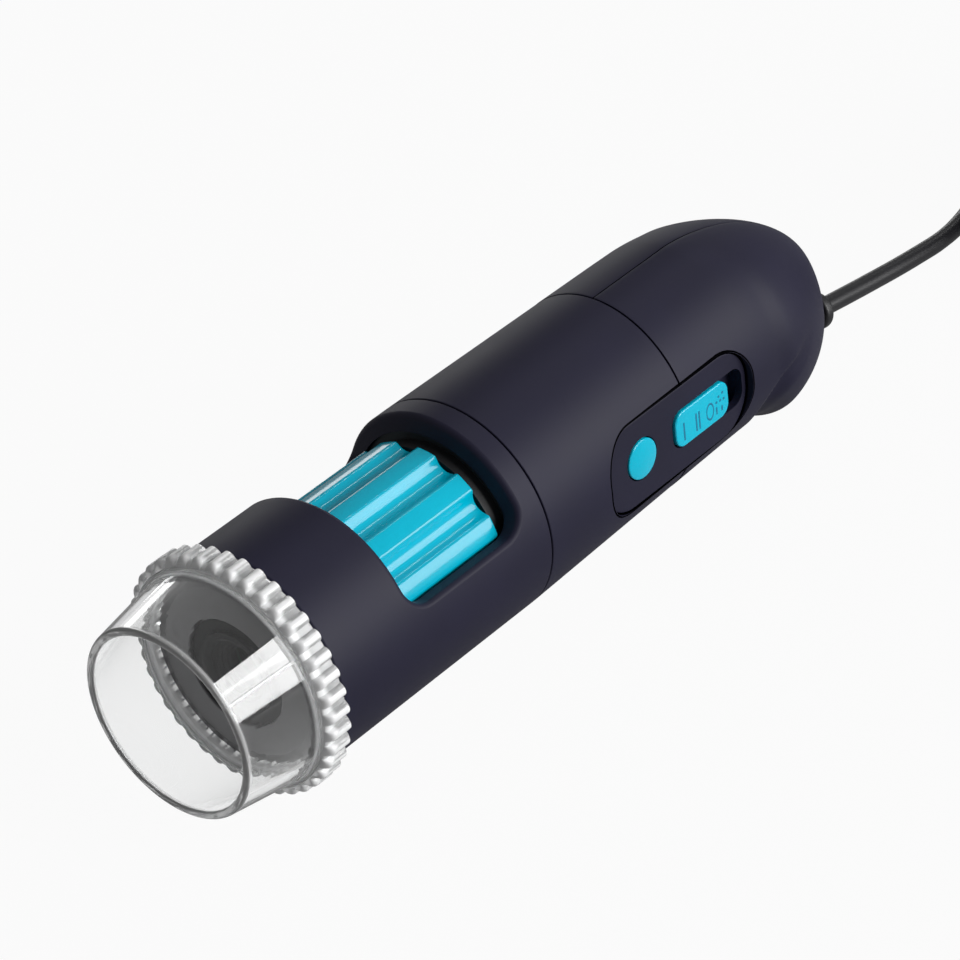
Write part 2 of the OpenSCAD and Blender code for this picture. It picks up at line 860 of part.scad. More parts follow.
module tail_shell_far() {
    color([0.2, 0.2, 0.25])
        in_barrel()
            translate([0, split_gap, 0])
                difference() {
                    union() {
                        mirror([0, 1, 0]) {
                            half_shell();
                            tail_spigot();
                            for (p = peg_spots)
                                translate([p[0], 0, p[1]])
                                    towards_buttons(0, p[2])
                                        circle(r = 2.2, $fn = 32);
                        }
                        for (p = peg_spots)
                            translate([p[0], 0, p[1]])
                                towards_buttons(-1, 3)
                                    circle(r = 1.1 - run_gap, $fn = 32);
                    }
                    relief_hole();
                }
}

// Controls
module button_plate() {
    color([0.21, 0.21, 0.25])
        in_barrel()
            difference() {
                translate([plate_x, 0, 0])
                    towards_buttons(plate_in_y, plate_y)
                        rounded(plate_len, plate_h, plate_corner);
                translate([button_x, 0, control_z])
                    towards_buttons(plate_in_y - 1, plate_y + 1)
                        circle(r = button_r + plate_gap);
                translate([slot_x + slot_len / 2, 0, control_z])
                    towards_buttons(plate_in_y - 1, plate_y + 1)
                        rounded(slot_len, slot_h, knob_corner + 0.2);
            }
}
module shutter_button() {
    edge = 0.4;
    color([0.0, 0.72, 0.82])
        in_barrel()
            translate([button_x, 0, control_z])
                rotate([90, 0, 0])
                    rotate_extrude() {
                        translate([0, button_stem_y])
                            square([1.2, 2]);
                        translate([0, flange_low])
                            square([button_flange_r, flange_top - flange_low]);
                        translate([0, flange_low])
                            square([button_r, button_top - edge - flange_low]);
                        translate([0, flange_low])
                            square([button_r - edge, button_top - flange_low]);
                        translate([button_r - edge, button_top - edge])
                            circle(r = edge);
                    }
}
module led_slider() {
    lever_y = pcb_y + 3.1;
    color([0.0, 0.72, 0.82])
        in_barrel()
            translate([knob_x + knob_len / 2, 0, control_z]) {
                towards_buttons(flange_low, knob_top)
                    rounded(knob_len, knob_h, knob_corner);
                towards_buttons(flange_low, flange_top)
                    square(slider_flange, center = true);
                towards_buttons(lever_y, flange_low + 0.1)
                    square(lever_w, center = true);
            }
}

// Electronics along the housing
module main_board() {
    color([0.1, 0.35, 0.22])
        in_barrel() {
            block([pcb_x, -pcb_y, -pcb_half], [pcb_step_x, -pcb_y + pcb_t, pcb_half]);
            block([pcb_step_x - 1, -pcb_y, -tongue_half], [pcb_end, -pcb_y + pcb_t, tongue_half]);
        }
}
module image_processor() {
    color([0.08, 0.08, 0.08])
        in_barrel()
            block([pcb_x + 6, -pcb_y + pcb_t, -5], [pcb_x + 16, -pcb_y + pcb_t + 1.2, 5]);
}
module tact_switch() {
    color([0.3, 0.3, 0.3])
        in_barrel()
            translate([button_x, 0, control_z]) {
                towards_buttons(pcb_y, pcb_y + 2.2)
                    square([6, 6], center = true);
                towards_buttons(pcb_y, button_stem_y - press_travel - 0.1)
                    circle(r = 1.6);
            }
}
module slide_switch() {
    color([0.65, 0.66, 0.68])
        in_barrel()
            translate([knob_x + knob_len / 2 + slide_travel / 2, 0, control_z])
                towards_buttons(pcb_y, pcb_y + 2.9)
                    square([10, 5], center = true);
}
module cable_header() {
    color([0.9, 0.9, 0.85])
        in_barrel()
            block([header_x, -pcb_y + pcb_t, -header_low],
                [header_x + header_len, -pcb_y + pcb_t + header_t, -header_high]);
}

// Cable, strain relief, coil and plug
module cable_tail() {
    color([0.06, 0.06, 0.06])
        on_table()
            tube_along(tail_path, cable_r, 8);
}
module strain_relief() {
    color([0.05, 0.05, 0.06])
        on_table()
            translate(exit_point)
                rotate([0, 90 + exit_tilt, 0])
                    rotate_extrude() {
                        polygon([
                            [0, relief_in], [neck_r + 1, relief_in], [neck_r + 1, relief_in + 1.3],
                            [neck_r, relief_in + 1.3], [neck_r, relief_out - 1.2],
                            [cable_r + 0.15, relief_out], [0, relief_out]
                        ]);
                        translate([0, relief_out - 2.4])
                            square([collar_r, 1]);
                        translate([0, relief_out - 2.8])
                            square([collar_r - 0.4, 1.8]);
                        for (s = [relief_out - 2.4, relief_out - 1.4])
                            translate([collar_r - 0.4, s])
                                circle(r = 0.4);
                    }
}
module cable() {
    color([0.06, 0.06, 0.06])
        on_table()
            tube_along(cable_path, cable_r, 8);
}
module cable_coil() {
    echo(least_gap_between_turns = coil_gap(), coil_length = coil_length());
    color([0.06, 0.06, 0.06])
        on_table()
            tube_along(coil_path, cable_r, 6);
}
module at_plug() {
    on_table()
        translate([plug_x, plug_y, plug_z])
            rotate([0, 90, 0])
                rotate(90)
                    children();
}
module plug_body() {
    color([0.08, 0.08, 0.08])
        at_plug() {
            translate([0, 0, 6])
                linear_extrude(plug_body_len - 6)
                    rounded(15.6, 2 * plug_half_t, 2.2);
            cylinder(h = 7, r = 2.6);
        }
}
module plug_shell() {
    color([0.75, 0.76, 0.78])
        at_plug()
            difference() {
                translate([0, 0, plug_body_len])
                    linear_extrude(plug_shell_len)
                        difference() {
                            square([12, 4.5], center = true);
                            square([11.4, 3.9], center = true);
                        }
                for (s = [-1, 1])
                    translate([s * 3 - 1.1, -5, plug_body_len + 4])
                        cube([2.2, 10, 2.4]);
            }
}
module plug_tongue() {
    color([0.92, 0.92, 0.9])
        at_plug()
            translate([-5.7, -1.95, plug_body_len])
                cube([11.4, 1.9, plug_shell_len - 0.6]);
}
module plug_contacts() {
    color([0.85, 0.7, 0.3])
        at_plug()
            for (x = [-3.5, -1, 1, 3.5])
                translate([x - 0.5, -0.05, plug_body_len + 1.5])
                    cube([1, 0.15, plug_shell_len - 3.6]);
}

clear_cap();
nose_bezel();
led_diffuser();
lens_hood();
led_board();
leds();
front_sleeve();
core_tube();
focus_dial();
lens_carriage();
front_lens();
lens_spacer();
rear_lens();
lens_ring();
cam_pins();
joint_ring();
sensor_board();
image_sensor();
sensor_screws();
sensor_flex();
mid_sleeve();
main_board();
image_processor();
tact_switch();
slide_switch();
cable_header();
cable_tail();
button_plate();
shutter_button();
led_slider();
tail_shell_near();
tail_shell_far();
strain_relief();
cable();
cable_coil();
plug_body();
plug_shell();
plug_tongue();
plug_contacts();
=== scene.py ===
"""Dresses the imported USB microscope: fresh outer pieces, finishes, cable, light and camera."""
import math

import bpy
from mathutils import Matrix, Vector


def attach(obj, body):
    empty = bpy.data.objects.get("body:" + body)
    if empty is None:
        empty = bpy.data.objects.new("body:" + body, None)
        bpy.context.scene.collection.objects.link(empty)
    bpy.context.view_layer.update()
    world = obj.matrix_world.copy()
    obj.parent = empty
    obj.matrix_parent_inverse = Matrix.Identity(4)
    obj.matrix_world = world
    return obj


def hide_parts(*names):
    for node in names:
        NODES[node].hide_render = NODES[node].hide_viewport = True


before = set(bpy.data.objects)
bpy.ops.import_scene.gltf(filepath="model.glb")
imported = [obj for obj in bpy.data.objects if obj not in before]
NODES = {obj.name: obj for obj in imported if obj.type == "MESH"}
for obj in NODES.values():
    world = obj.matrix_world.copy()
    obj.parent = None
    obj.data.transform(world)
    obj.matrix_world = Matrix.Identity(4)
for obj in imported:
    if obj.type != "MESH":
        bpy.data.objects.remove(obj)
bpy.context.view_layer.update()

# What one step leaves for the next: the finishes and the cable
STORE = {}

bl_info = {
    "name": "USB microscope",
    "version": (1, 0, 0),
    "blender": (4, 5, 0),
    "location": "View3D > Sidebar > Microscope",
    "description": "Models and finishes the outer pieces of a hand-held USB microscope",
    "category": "Object",
}

# The barrel's own frame: millimetres from the cap's rim, axis at height zero
MM = 0.001
TAIL_END = 137.5
AXIS_HEIGHT = 18.0
X_AXIS = Vector((1, 0, 0))
Z_AXIS = Vector((0, 0, 1))
TO_BUTTONS = Vector((0, -1, 0))

# Modelling: how near points merge, and how sharp an edge is rounded
MEET = 0.002
SHARP = math.radians(50)

# Stations along the barrel
RING_X = 11.6
RING_END = 15.7
FRONT_X = 16.0
FRONT_END = 58.0
MID_X = 58.2
MID_END = 89.6
TAIL_X = 89.8

# Radii, walls and the cap's ribs, with the angle of its mould line
BARREL_R = 16.5
BORE_R = 14.0
CROWN_R = 18.0
RIM_R = 14.2
SHROUD_END_R = 16.0
SHROUD_WALL = 1.2
RIB_R = 0.9
CAP_RIBS = 40
CAP_BORE_R = 14.55
MOULD_LINE = 58.5
SPIGOT_R = 14.48
MID_BORE_R = 13.8
TAIL_WALL = 2.2

# Nose
FACE_X = 12.8
FACE_R = 12.6
WELL_R = 8.08
HOOD_R = 6.1
BOARD_X = 16.5
NOSE_END = 29.5
NOSE_BORE_R = 12.4
DIFFUSER_X = (FACE_X + 0.6, FACE_X + 2.2)
NOSE_FIT = 0.02
HOOD_STEPS = 5
HOOD_RUN = 0.42
HOOD_RISE = 0.5
HOOD_EYE_R = 2.6

# Dial and its window
WINDOW_APEX = (34.87, 50.13)
WINDOW_MID = -2.5
WINDOW_TURN = 63.8
WINDOW_FLARE = math.tan(math.radians(13.2))
WINDOW_ROUND = 0.8
DIAL_X = (29.8, 51.6)
DIAL_R = 13.6
DIAL_RIBS = 12
DIAL_PHASE = 7.7
DIAL_ROUND = 0.35
RIDGE_SOFT = 40.0
VALLEY_R = 2.19
VALLEY_C = 14.49
CORE_R = 9.8

# Tail outline: each fall is given by its two powers, and FOLD_PEAK brings the fold's to a height of 1
TOP_FALL = (1.6, 2.27)
HEEL_FALL = (2, 1.2)
SIDE_FALL = (1.57, 1.37)
UNDER_TAPER = 0.03
SIDE_TAPER = 0.02
CROWN_X = 105.5
WAIST_X = 112.0
HEEL_X = 118.8
HEEL_DROP = 18.0
SIDE_WAIST_X = 110.1
SIDE_FULL_X = 113.8
SIDE_FULL = 15.8
FOLD_X = 107.0
FOLD_REACH = 9.5
FOLD_LOW = 123.0
FOLD_SPAN = 41.0
FOLD_FADE = (78.0, 104.0)
FOLD_CLIMB = 1.5
FOLD_LEN = 6.0
FOLD_DIP = 0.85
FOLD_POWERS = (1.5, 2.5)
FOLD_PEAK = 14.1
CENTRE_X = 100.0
TAIL_Z = -8.0025
HOLLOW_END = 129.0
SPLIT_GAP = 0.05

# Button plate, button and slide switch
PLATE_X = 87.9
PLATE_LEN = 32.2
PLATE_H = 13.4
PLATE_CORNER = 6.03
PLATE_Y = 14.4
PLATE_IN_Y = 13.2
PLATE_GAP = 0.2
PAD_Y = 11.2
BUTTON_X = 80.3
BUTTON_R = 3.05
BUTTON_TOP = 14.9
BUTTON_STEM_Y = 10.9
BUTTON_STEM_R = 1.2
BUTTON_FLANGE_R = BUTTON_R + 0.7
BUTTON_DOME = 0.26
BUTTON_RIM = 0.34
FLANGE_LOW = 12.3
FLANGE_TOP = 12.9
KNOB_X = 87.5
KNOB_LEN = 12.0
KNOB_H = 5.7
KNOB_TOP = 14.8
KNOB_CORNER = 1.9
SLIDE_TRAVEL = 3.3
SLIDER_FLOOR = 12.0
SLIDER_FLANGE_H = 7.3
LEVER_W = 2.4
LEVER_Y = 10.2
SLOT_X = 87.2
SLOT_LEN = 15.9
SLOT_H = 6.1
MARK_Z = -0.46
MARK_H = 2.9
MARK_W = 0.32
MARK_Y = (KNOB_TOP - 0.1, KNOB_TOP + 0.015)
MARK_OVAL = (1.08, 1.42)
MARK_SQUEEZE = 0.62
MARK_BARS = ((1.8, MARK_Z, MARK_H), (4.55, MARK_Z, MARK_H), (5.25, MARK_Z, MARK_H),
             (9.15, -1.1, 1.2), (10.35, -1.25, 0.8))
MARK_OVAL_X = 7.7
MARK_DOTS = ((9.2, 0.2), (9.75, 0.9), (10.05, 0.15), (10.65, 1.15), (10.85, 0.05))
MARK_DOT_R = 0.22

# Cable: exit, free stretch, coil, tie and plug, with heights above the table
CABLE_R = 1.45
LIE_Z = 1.5
EXIT = Vector((136.1, 0, 6.4975))
EXIT_TILT = math.radians(9)
RELIEF = (-9.3, 5.2)
NECK_R = 2.2
COLLAR_R = 2.9
COIL_C = (203.0, -14.0)
COIL_R = 21.5
COIL_LAYERS = 4
COIL_PITCH = 3.85
LAYER_RISE = 3.45
BEND_TURN = 105
BEND_R = 12.0
WIND_TURN = 14 * 360 - BEND_TURN
LAYER_TURN = WIND_TURN / COIL_LAYERS - 180
COIL_IN_R = COIL_R - COIL_PITCH * LAYER_TURN / 360
PLUG_Z = LIE_Z + (COIL_LAYERS - 1) * LAYER_RISE + CABLE_R + 4.0
LEAD = 4.0
PLUG_BODY_LEN = 25.0
PLUG_SHELL_LEN = 12.0
PLUG_SHELL = (12.0, 4.5)
PLUG_SHELL_WALL = 0.3
LATCH_X = PLUG_BODY_LEN + 5.25
LATCH_Y = 3
GROOVES = 5
GROOVE_X = 12
GROOVE_PITCH = 2.2
TIE_T = 0.35
TIE_HALF = 2.2
TIE_TURN = math.radians(205)
ROUTE = (
    (10.5, 0, 4.6), (16.5, 0, 3.7), (22.5, 0, 2.85), (28.5, 0, 2.15), (34.5, 0, 1.65),
    (40.5, 0.6, LIE_Z), (46.5, 2.1, LIE_Z), (51.5, 4.3, LIE_Z), (55.5, 6.1, LIE_Z), (58.5, 7.2, LIE_Z),
)

# Painted shade, with a little dirt, in the narrow gap round the button plate and along the parting line: dark
# lines with their outer and full half-widths, and where they lie
GAP_SHADE_LINE = (0.2, 0.12)
SKIN_SHADE_LINE = (0.15, 0.11)
SKIN_SHADE_LINE_OFF = PLATE_GAP + 0.17
BUTTONS_SIDE_Y = (-9, -11)
SPLIT_SHADE_LINE = (0.13, 0.06)
SPLIT_FADE = (124, 108)
MOULD_LINE_WIDTH = (0.14, 0.06)

# Camera of the photograph and the tones of the surroundings
CAMERA_AT = (-0.33610, -0.31935, 0.32105)
CAMERA_RIGHT = (0.64047, -0.76085, -0.10449)
CAMERA_UP = (0.47824, 0.28866, 0.82943)
CAMERA_BACK = (-0.60091, -0.58121, 0.54873)
SENSOR = 36
FLOOR_TONE = 0.38
FLOOR_SHARE = 0.95
SKY_TONE = 0.96


class ScopeFinishes(bpy.types.PropertyGroup):
    """Colours of the pieces."""
    body: bpy.props.FloatVectorProperty(
        name="Body", description="Soft-touch paint of the barrel and the tail",
        subtype="COLOR", default=(0.0125, 0.0115, 0.029), min=0, max=1)
    accent: bpy.props.FloatVectorProperty(
        name="Accent", description="Dial, button and slide switch",
        subtype="COLOR", default=(0.0, 0.48, 0.66), min=0, max=1)
    # The marks' colour is painted shade: the dark of engraved marks, put on flush inlays
    marks: bpy.props.FloatVectorProperty(
        name="Marks", description="Engraved marks on the slide switch",
        subtype="COLOR", default=(0.0, 0.17, 0.30), min=0, max=1)
    nose: bpy.props.FloatVectorProperty(
        name="Nose", description="Face inside the cap",
        subtype="COLOR", default=(0.085, 0.085, 0.088), min=0, max=1)
    cable: bpy.props.FloatVectorProperty(
        name="Cable", description="Cable, strain relief and plug",
        subtype="COLOR", default=(0.007, 0.007, 0.009), min=0, max=1)


class ScopeSizes(bpy.types.PropertyGroup):
    """Edges and fineness of the fresh pieces."""
    edge: bpy.props.FloatProperty(
        name="Edge", description="Rounding of moulded edges",
        subtype="DISTANCE", unit="LENGTH", default=0.00018, min=0.00005, max=0.0005)
    steps: bpy.props.IntProperty(
        name="Steps", description="Steps round a turned piece", default=144, min=48, max=256)
    cable_length: bpy.props.FloatProperty(
        name="Cable length", description="Length of the free cable",
        subtype="DISTANCE", unit="LENGTH", default=1.45, min=1.0, max=2.0)


class ScopeStage(bpy.types.PropertyGroup):
    """Light and camera."""
    key: bpy.props.FloatProperty(
        name="Key light", description="Large softbox beside the camera",
        subtype="POWER", unit="POWER", default=4.8, min=0, max=100)
    band: bpy.props.FloatProperty(
        name="Band light", description="Upright softbox that the clear cap mirrors",
        subtype="POWER", unit="POWER", default=2.5, min=0, max=100)
    strip: bpy.props.FloatProperty(
        name="Strip light", description="Narrow strip above the barrel, for streaks of gloss",
        subtype="POWER", unit="POWER", default=0.5, min=0, max=100)
    rim: bpy.props.FloatProperty(
        name="Rim light", description="Low softbox behind the barrel",
        subtype="POWER", unit="POWER", default=0.7, min=0, max=100)
    fill: bpy.props.FloatProperty(
        name="Fill", description="Light from all round",
        default=0.13, min=0, max=2)
    gloss: bpy.props.FloatProperty(
        name="Gloss", description="Share of the white surroundings that glossy pieces reflect",
        subtype="FACTOR", default=0.2, min=0, max=1)
    lens: bpy.props.FloatProperty(
        name="Lens", description="Focal length in millimetres on a 36 mm sensor",
        default=150.54, min=20, max=300)


# Places

def spot(x, y, z):
    """A point of the barrel's own frame, as metres in the part's frame."""
    return Vector(((x - TAIL_END / 2) * MM, y * MM, (z + AXIS_HEIGHT) * MM))


def station(x):
    """The part's own X at a station of the barrel."""
    return spot(x, 0, 0).x


def about(x, r, a):
    """A point at station x and radius r, at angle a from the top towards the buttons."""
    return spot(x, -r * math.sin(a), r * math.cos(a))


def on_table(x, y, z):
    """A point given by its height above the table."""
    return spot(x, y, z - AXIS_HEIGHT)


def smooth(t):
    """An even rise from 0 to 1."""
    c = min(max(t, 0.0), 1.0)
    return c * c * (3 - 2 * c)


def falling(t, p, q):
    """A rounded fall from 1 to 0, blunt or slim by its two powers."""
    c = min(max(t, 0.0), 1.0)
    return max(1 - c ** p, 0.0) ** (1 / q)


def top_z(x):
    """Height of the housing's top line."""
    return TAIL_Z + (BARREL_R - TAIL_Z) * falling((x - CROWN_X) / (TAIL_END - CROWN_X), *TOP_FALL)


def under_z(x):
    """Height of the housing's underside."""
    if x >= HEEL_X:
        return TAIL_Z - (TAIL_Z + HEEL_DROP) * falling((x - HEEL_X) / (TAIL_END - HEEL_X), *HEEL_FALL)
    s = smooth((x - WAIST_X) / (HEEL_X - WAIST_X))
    line = BARREL_R - UNDER_TAPER * max(x - FRONT_END, 0)
    return -(line * (1 - s) + HEEL_DROP * s)


def side_y(x):
    """Half of the housing's width."""
    if x >= SIDE_FULL_X:
        return SIDE_FULL * falling((x - SIDE_FULL_X) / (TAIL_END - SIDE_FULL_X), *SIDE_FALL)
    s = smooth((x - SIDE_WAIST_X) / (SIDE_FULL_X - SIDE_WAIST_X))
    line = BARREL_R - SIDE_TAPER * max(x - FRONT_END, 0)
    return line * (1 - s) + SIDE_FULL * s


def centre_z(x):
    """Height of the housing's middle line."""
    return TAIL_Z * min(max((x - CENTRE_X) / (TAIL_END - CENTRE_X), 0.0), 1.0) ** 2


def fold(x, a):
    """Depth of the fold in front of the heel, whose edge runs back and fades as it climbs the side."""
    turn = math.degrees(abs(a))
    start = FOLD_X + FOLD_REACH * max((FOLD_LOW - turn) / FOLD_SPAN, 0.0) ** FOLD_CLIMB
    t = min(max((x - start) / FOLD_LEN, 0.0), 1.0)
    fade = smooth((turn - FOLD_FADE[0]) / (FOLD_FADE[1] - FOLD_FADE[0]))
    return FOLD_DIP * fade * FOLD_PEAK * t ** FOLD_POWERS[0] * (1 - t) ** FOLD_POWERS[1]


def skin(x, a, inset=0.0, shrink=1.0):
    """A point of the housing's skin at station x, angle a from the top towards the buttons."""
    c = centre_z(x)
    depth = inset + fold(x, a)
    up = (top_z(x) - c if math.cos(a) > 0 else c - under_z(x)) - depth
    return spot(x, -shrink * (side_y(x) - depth) * math.sin(a), c + shrink * up * math.cos(a))


# Modelling helpers

def deselect():
    """Leaves nothing selected."""
    bpy.ops.object.select_all(action="DESELECT")


def alone(piece):
    """Leaves only this piece selected and active."""
    deselect()
    piece.select_set(True)
    bpy.context.view_layer.objects.active = piece


def fresh(name):
    """Names the object just added and puts its place into its mesh."""
    piece = bpy.context.active_object
    piece.name = name
    piece.data.name = name
    bpy.ops.object.transform_apply(location=True, rotation=True, scale=True)
    return piece


def edit(on):
    """Enters edit mode with everything selected, or leaves it."""
    bpy.ops.object.mode_set(mode="EDIT" if on else "OBJECT")
    if on:
        bpy.ops.mesh.select_all(action="SELECT")


def weld(piece):
    """Merges points that meet and turns the faces outwards."""
    alone(piece)
    edit(True)
    bpy.ops.mesh.remove_doubles(threshold=MEET * MM)
    bpy.ops.mesh.normals_make_consistent(inside=False)
    edit(False)
    return piece


def oblong(w, h, r, bits):
    """A rounded oblong outline about zero."""
    return eased([(w / 2, h / 2, r), (-w / 2, h / 2, r), (-w / 2, -h / 2, r), (w / 2, -h / 2, r)], bits)


def round_ends(first, last, r, bits):
    """Stations at both rounded ends of a ring, each with its depth below the full radius."""
    turns = [math.pi / 2 * t / bits for t in range(bits + 1)]
    bend = [(r * (1 - math.cos(a)), r * (1 - math.sin(a))) for a in turns]
    return [(first + x, d) for x, d in bend], [(last - x, d) for x, d in reversed(bend)]


def eased(corners, bits=5):
    """Rounds the corners of a closed outline, each given as station, radius and rounding."""
    points = []
    for i, (x, y, r) in enumerate(corners):
        here = Vector((x, y))
        if r == 0:
            points.append(here)
            continue
        back = (Vector(corners[i - 1][:2]) - here).normalized()
        on = (Vector(corners[(i + 1) % len(corners)][:2]) - here).normalized()
        half = back.angle(on) / 2
        centre = here + (back + on).normalized() * (r / math.sin(half))
        first = here + back * (r / math.tan(half)) - centre
        last = here + on * (r / math.tan(half)) - centre
        turn = math.copysign(math.pi - 2 * half, first.x * last.y - first.y * last.x)
        for k in range(bits + 1):
            points.append(centre + Matrix.Rotation(turn * k / bits, 2) @ first)
    return points


def turned(name, outline, steps=None, origin=None, along=X_AXIS, side=Z_AXIS):
    """Traces a closed outline by extruding one point, then spins it about the axis."""
    origin = spot(0, 0, 0) if origin is None else origin
    steps = bpy.context.scene.scope_sizes.steps if steps is None else steps
    points = [origin + (along * p[0] + side * p[1]) * MM for p in outline]
    deselect()
    bpy.ops.mesh.primitive_plane_add(size=MM, location=points[0])
    piece = fresh(name)
    edit(True)
    bpy.ops.mesh.merge(type="CENTER")
    for a, b in zip(points, points[1:] + points[:1]):
        bpy.ops.mesh.extrude_vertices_move(TRANSFORM_OT_translate={"value": b - a})
    bpy.ops.mesh.select_all(action="SELECT")
    bpy.ops.mesh.spin(steps=steps, angle=2 * math.pi, center=origin, axis=along)
    edit(False)
    return weld(piece)


def formed(name, across, along, place):
    """Adds a grid and moves each of its points to its place; edges that meet are merged."""
    deselect()
    bpy.ops.mesh.primitive_grid_add(x_subdivisions=across, y_subdivisions=along, size=1)
    piece = fresh(name)
    for v in piece.data.vertices:
        v.co = place(round((v.co.x + 0.5) * across), round((v.co.y + 0.5) * along))
    return weld(piece)


def slab(name, x, z, length, height, corner, y_in, y_out, bits=10):
    """A plate facing the buttons' side: a plane, its corners rounded, extruded outwards."""
    deselect()
    bpy.ops.mesh.primitive_plane_add(size=1, location=spot(x, -y_in, z), rotation=(math.pi / 2, 0, 0))
    bpy.context.active_object.scale = (length * MM, height * MM, 1)
    piece = fresh(name)
    edit(True)
    if corner:
        bpy.ops.mesh.bevel(offset=corner * MM, segments=bits, affect="VERTICES", clamp_overlap=True)
        bpy.ops.mesh.select_all(action="SELECT")
    bpy.ops.mesh.extrude_region_move(TRANSFORM_OT_translate={"value": (0, (y_in - y_out) * MM, 0)})
    edit(False)
    return weld(piece)


def rod(name, x, z, r, y_in, y_out, vertices=64):
    """A round bar across the buttons' side, for a hole or a dot."""
    deselect()
    bpy.ops.mesh.primitive_cylinder_add(
        vertices=vertices, radius=r * MM, depth=(y_out - y_in) * MM,
        location=spot(x, -(y_in + y_out) / 2, z), rotation=(math.pi / 2, 0, 0))
    return fresh(name)


def modify(piece, kind, **settings):
    """Adds a modifier, sets it and applies it."""
    alone(piece)
    modifier = piece.modifiers.new(kind.title(), kind)
    for key, value in settings.items():
        setattr(modifier, key, value)
    bpy.ops.object.modifier_apply(modifier=modifier.name)
    return piece


def cut(piece, *cutters):
    """Takes the cutters out of a piece."""
    for cutter in cutters:
        modify(piece, "BOOLEAN", object=cutter, operation="DIFFERENCE", solver="MANIFOLD")
        bpy.data.objects.remove(cutter)
    return piece


def soften(piece, width, segments):
    """Rounds the sharp edges of a piece a little, where its faces leave room."""
    return modify(piece, "BEVEL", width=width * MM, segments=segments, limit_method="ANGLE",
                  angle_limit=SHARP, use_clamp_overlap=True, harden_normals=False)


def join(pieces, name):
    """Joins pieces into the first one."""
    deselect()
    for piece in pieces:
        piece.select_set(True)
    bpy.context.view_layer.objects.active = pieces[0]
    bpy.ops.object.join()
    pieces[0].name = name
    return pieces[0]


def dress(piece, material, body, slot, *nodes, angle=32, even=True):
    """Shades a piece, gives it its finish, attaches it to the body it rides on, and hides the CAD nodes that
    it stands in for.
    """
    alone(piece)
    bpy.ops.object.shade_smooth_by_angle(angle=math.radians(angle))
    if even:
        modify(piece, "WEIGHTED_NORMAL", mode="FACE_AREA", weight=50, keep_sharp=True)
    piece.data.materials.clear()
    piece.data.materials.append(material)
    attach(piece, body)
    if nodes:
        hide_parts(*nodes)
    return piece


# Shader maths

class Wire:
    """A socket of a material; arithmetic on it adds Math nodes."""

    def __init__(self, tree, socket=None):
        self.tree = tree
        self.socket = socket

    def node(self, kind, settings=None, inputs=None, output=0):
        """Adds a node, its settings first, then the values or links of its sockets."""
        made = self.tree.nodes.new(kind)
        for key, value in (settings or {}).items():
            setattr(made, key, value)
        for key, value in (inputs or {}).items():
            if isinstance(value, Wire):
                self.tree.links.new(value.socket, made.inputs[key])
            else:
                made.inputs[key].default_value = value
        return Wire(self.tree, made.outputs[output] if made.outputs else None)

    def math(self, operation, *values):
        return self.node("ShaderNodeMath", {"operation": operation}, dict(enumerate(values)))

    def __add__(self, other):
        return self.math("ADD", self, other)

    def __sub__(self, other):
        return self.math("SUBTRACT", self, other)

    def __rsub__(self, other):
        return self.math("SUBTRACT", other, self)

    def __mul__(self, other):
        return self.math("MULTIPLY", self, other)

    def __pow__(self, other):
        return self.math("POWER", self, other)

    def clamp(self):
        return self.most(self.math("MINIMUM", self, 1.0), 0.0)

    def step(self, low, high):
        """Rises from 0 to 1 between two values of this socket, or falls where low is the larger."""
        return self.node("ShaderNodeMapRange", {"interpolation_type": "SMOOTHSTEP"},
                         {0: self, 1: low, 2: high})

    def place(self):
        return self.node("ShaderNodeTexCoord", output="Object")

    def axes(self):
        """The three Object coordinates, each by itself."""
        return [self.node("ShaderNodeSeparateXYZ", inputs={0: self.place()}, output=n) for n in "XYZ"]

    def noise(self, scale, detail=2.0, vector=None):
        vector = self.place() if vector is None else vector
        return self.node("ShaderNodeTexNoise", inputs={"Vector": vector, "Scale": scale, "Detail": detail})

    def cells(self, scale, feature="F1"):
        return self.node("ShaderNodeTexVoronoi", {"feature": feature},
                         {"Vector": self.place(), "Scale": scale}, "Distance")

    def most(self, a, b):
        return self.math("MAXIMUM", a, b)

    def size(self, a):
        return self.math("ABSOLUTE", a)

    def line(self, off, width):
        """1 along a line, by the distance off it and its outer and full half-widths in millimetres."""
        return self.size(off).step(width[0] * MM, width[1] * MM)

    def blend(self, factor, a, b):
        """Mixes two colours."""
        one = (*a, 1) if isinstance(a, tuple) else a
        two = (*b, 1) if isinstance(b, tuple) else b
        return self.node("ShaderNodeMix", {"data_type": "RGBA"}, {0: factor, 6: one, 7: two}, 2)

    def bump(self, height, distance, strength=1.0):
        return self.node("ShaderNodeBump",
                         inputs={"Height": height, "Distance": distance * MM, "Strength": strength})


def blank(name):
    """A new material and a wire into its tree, with the shader left to be added."""
    material = bpy.data.materials.new(name)
    material.use_nodes = True
    material.node_tree.nodes.clear()
    return material, Wire(material.node_tree)


def close(material, shader):
    """Adds the material's output."""
    shader.node("ShaderNodeOutputMaterial", inputs={0: shader})
    return material


def principled(wire, **sockets):
    """The main shader; an underscore in a name stands for a space."""
    return wire.node("ShaderNodeBsdfPrincipled", inputs={k.replace("_", " "): v for k, v in sockets.items()})


def shifted(colour, amount):
    """A colour made darker or lighter."""
    return tuple(min(max(c * amount, 0.0), 1.0) for c in colour)


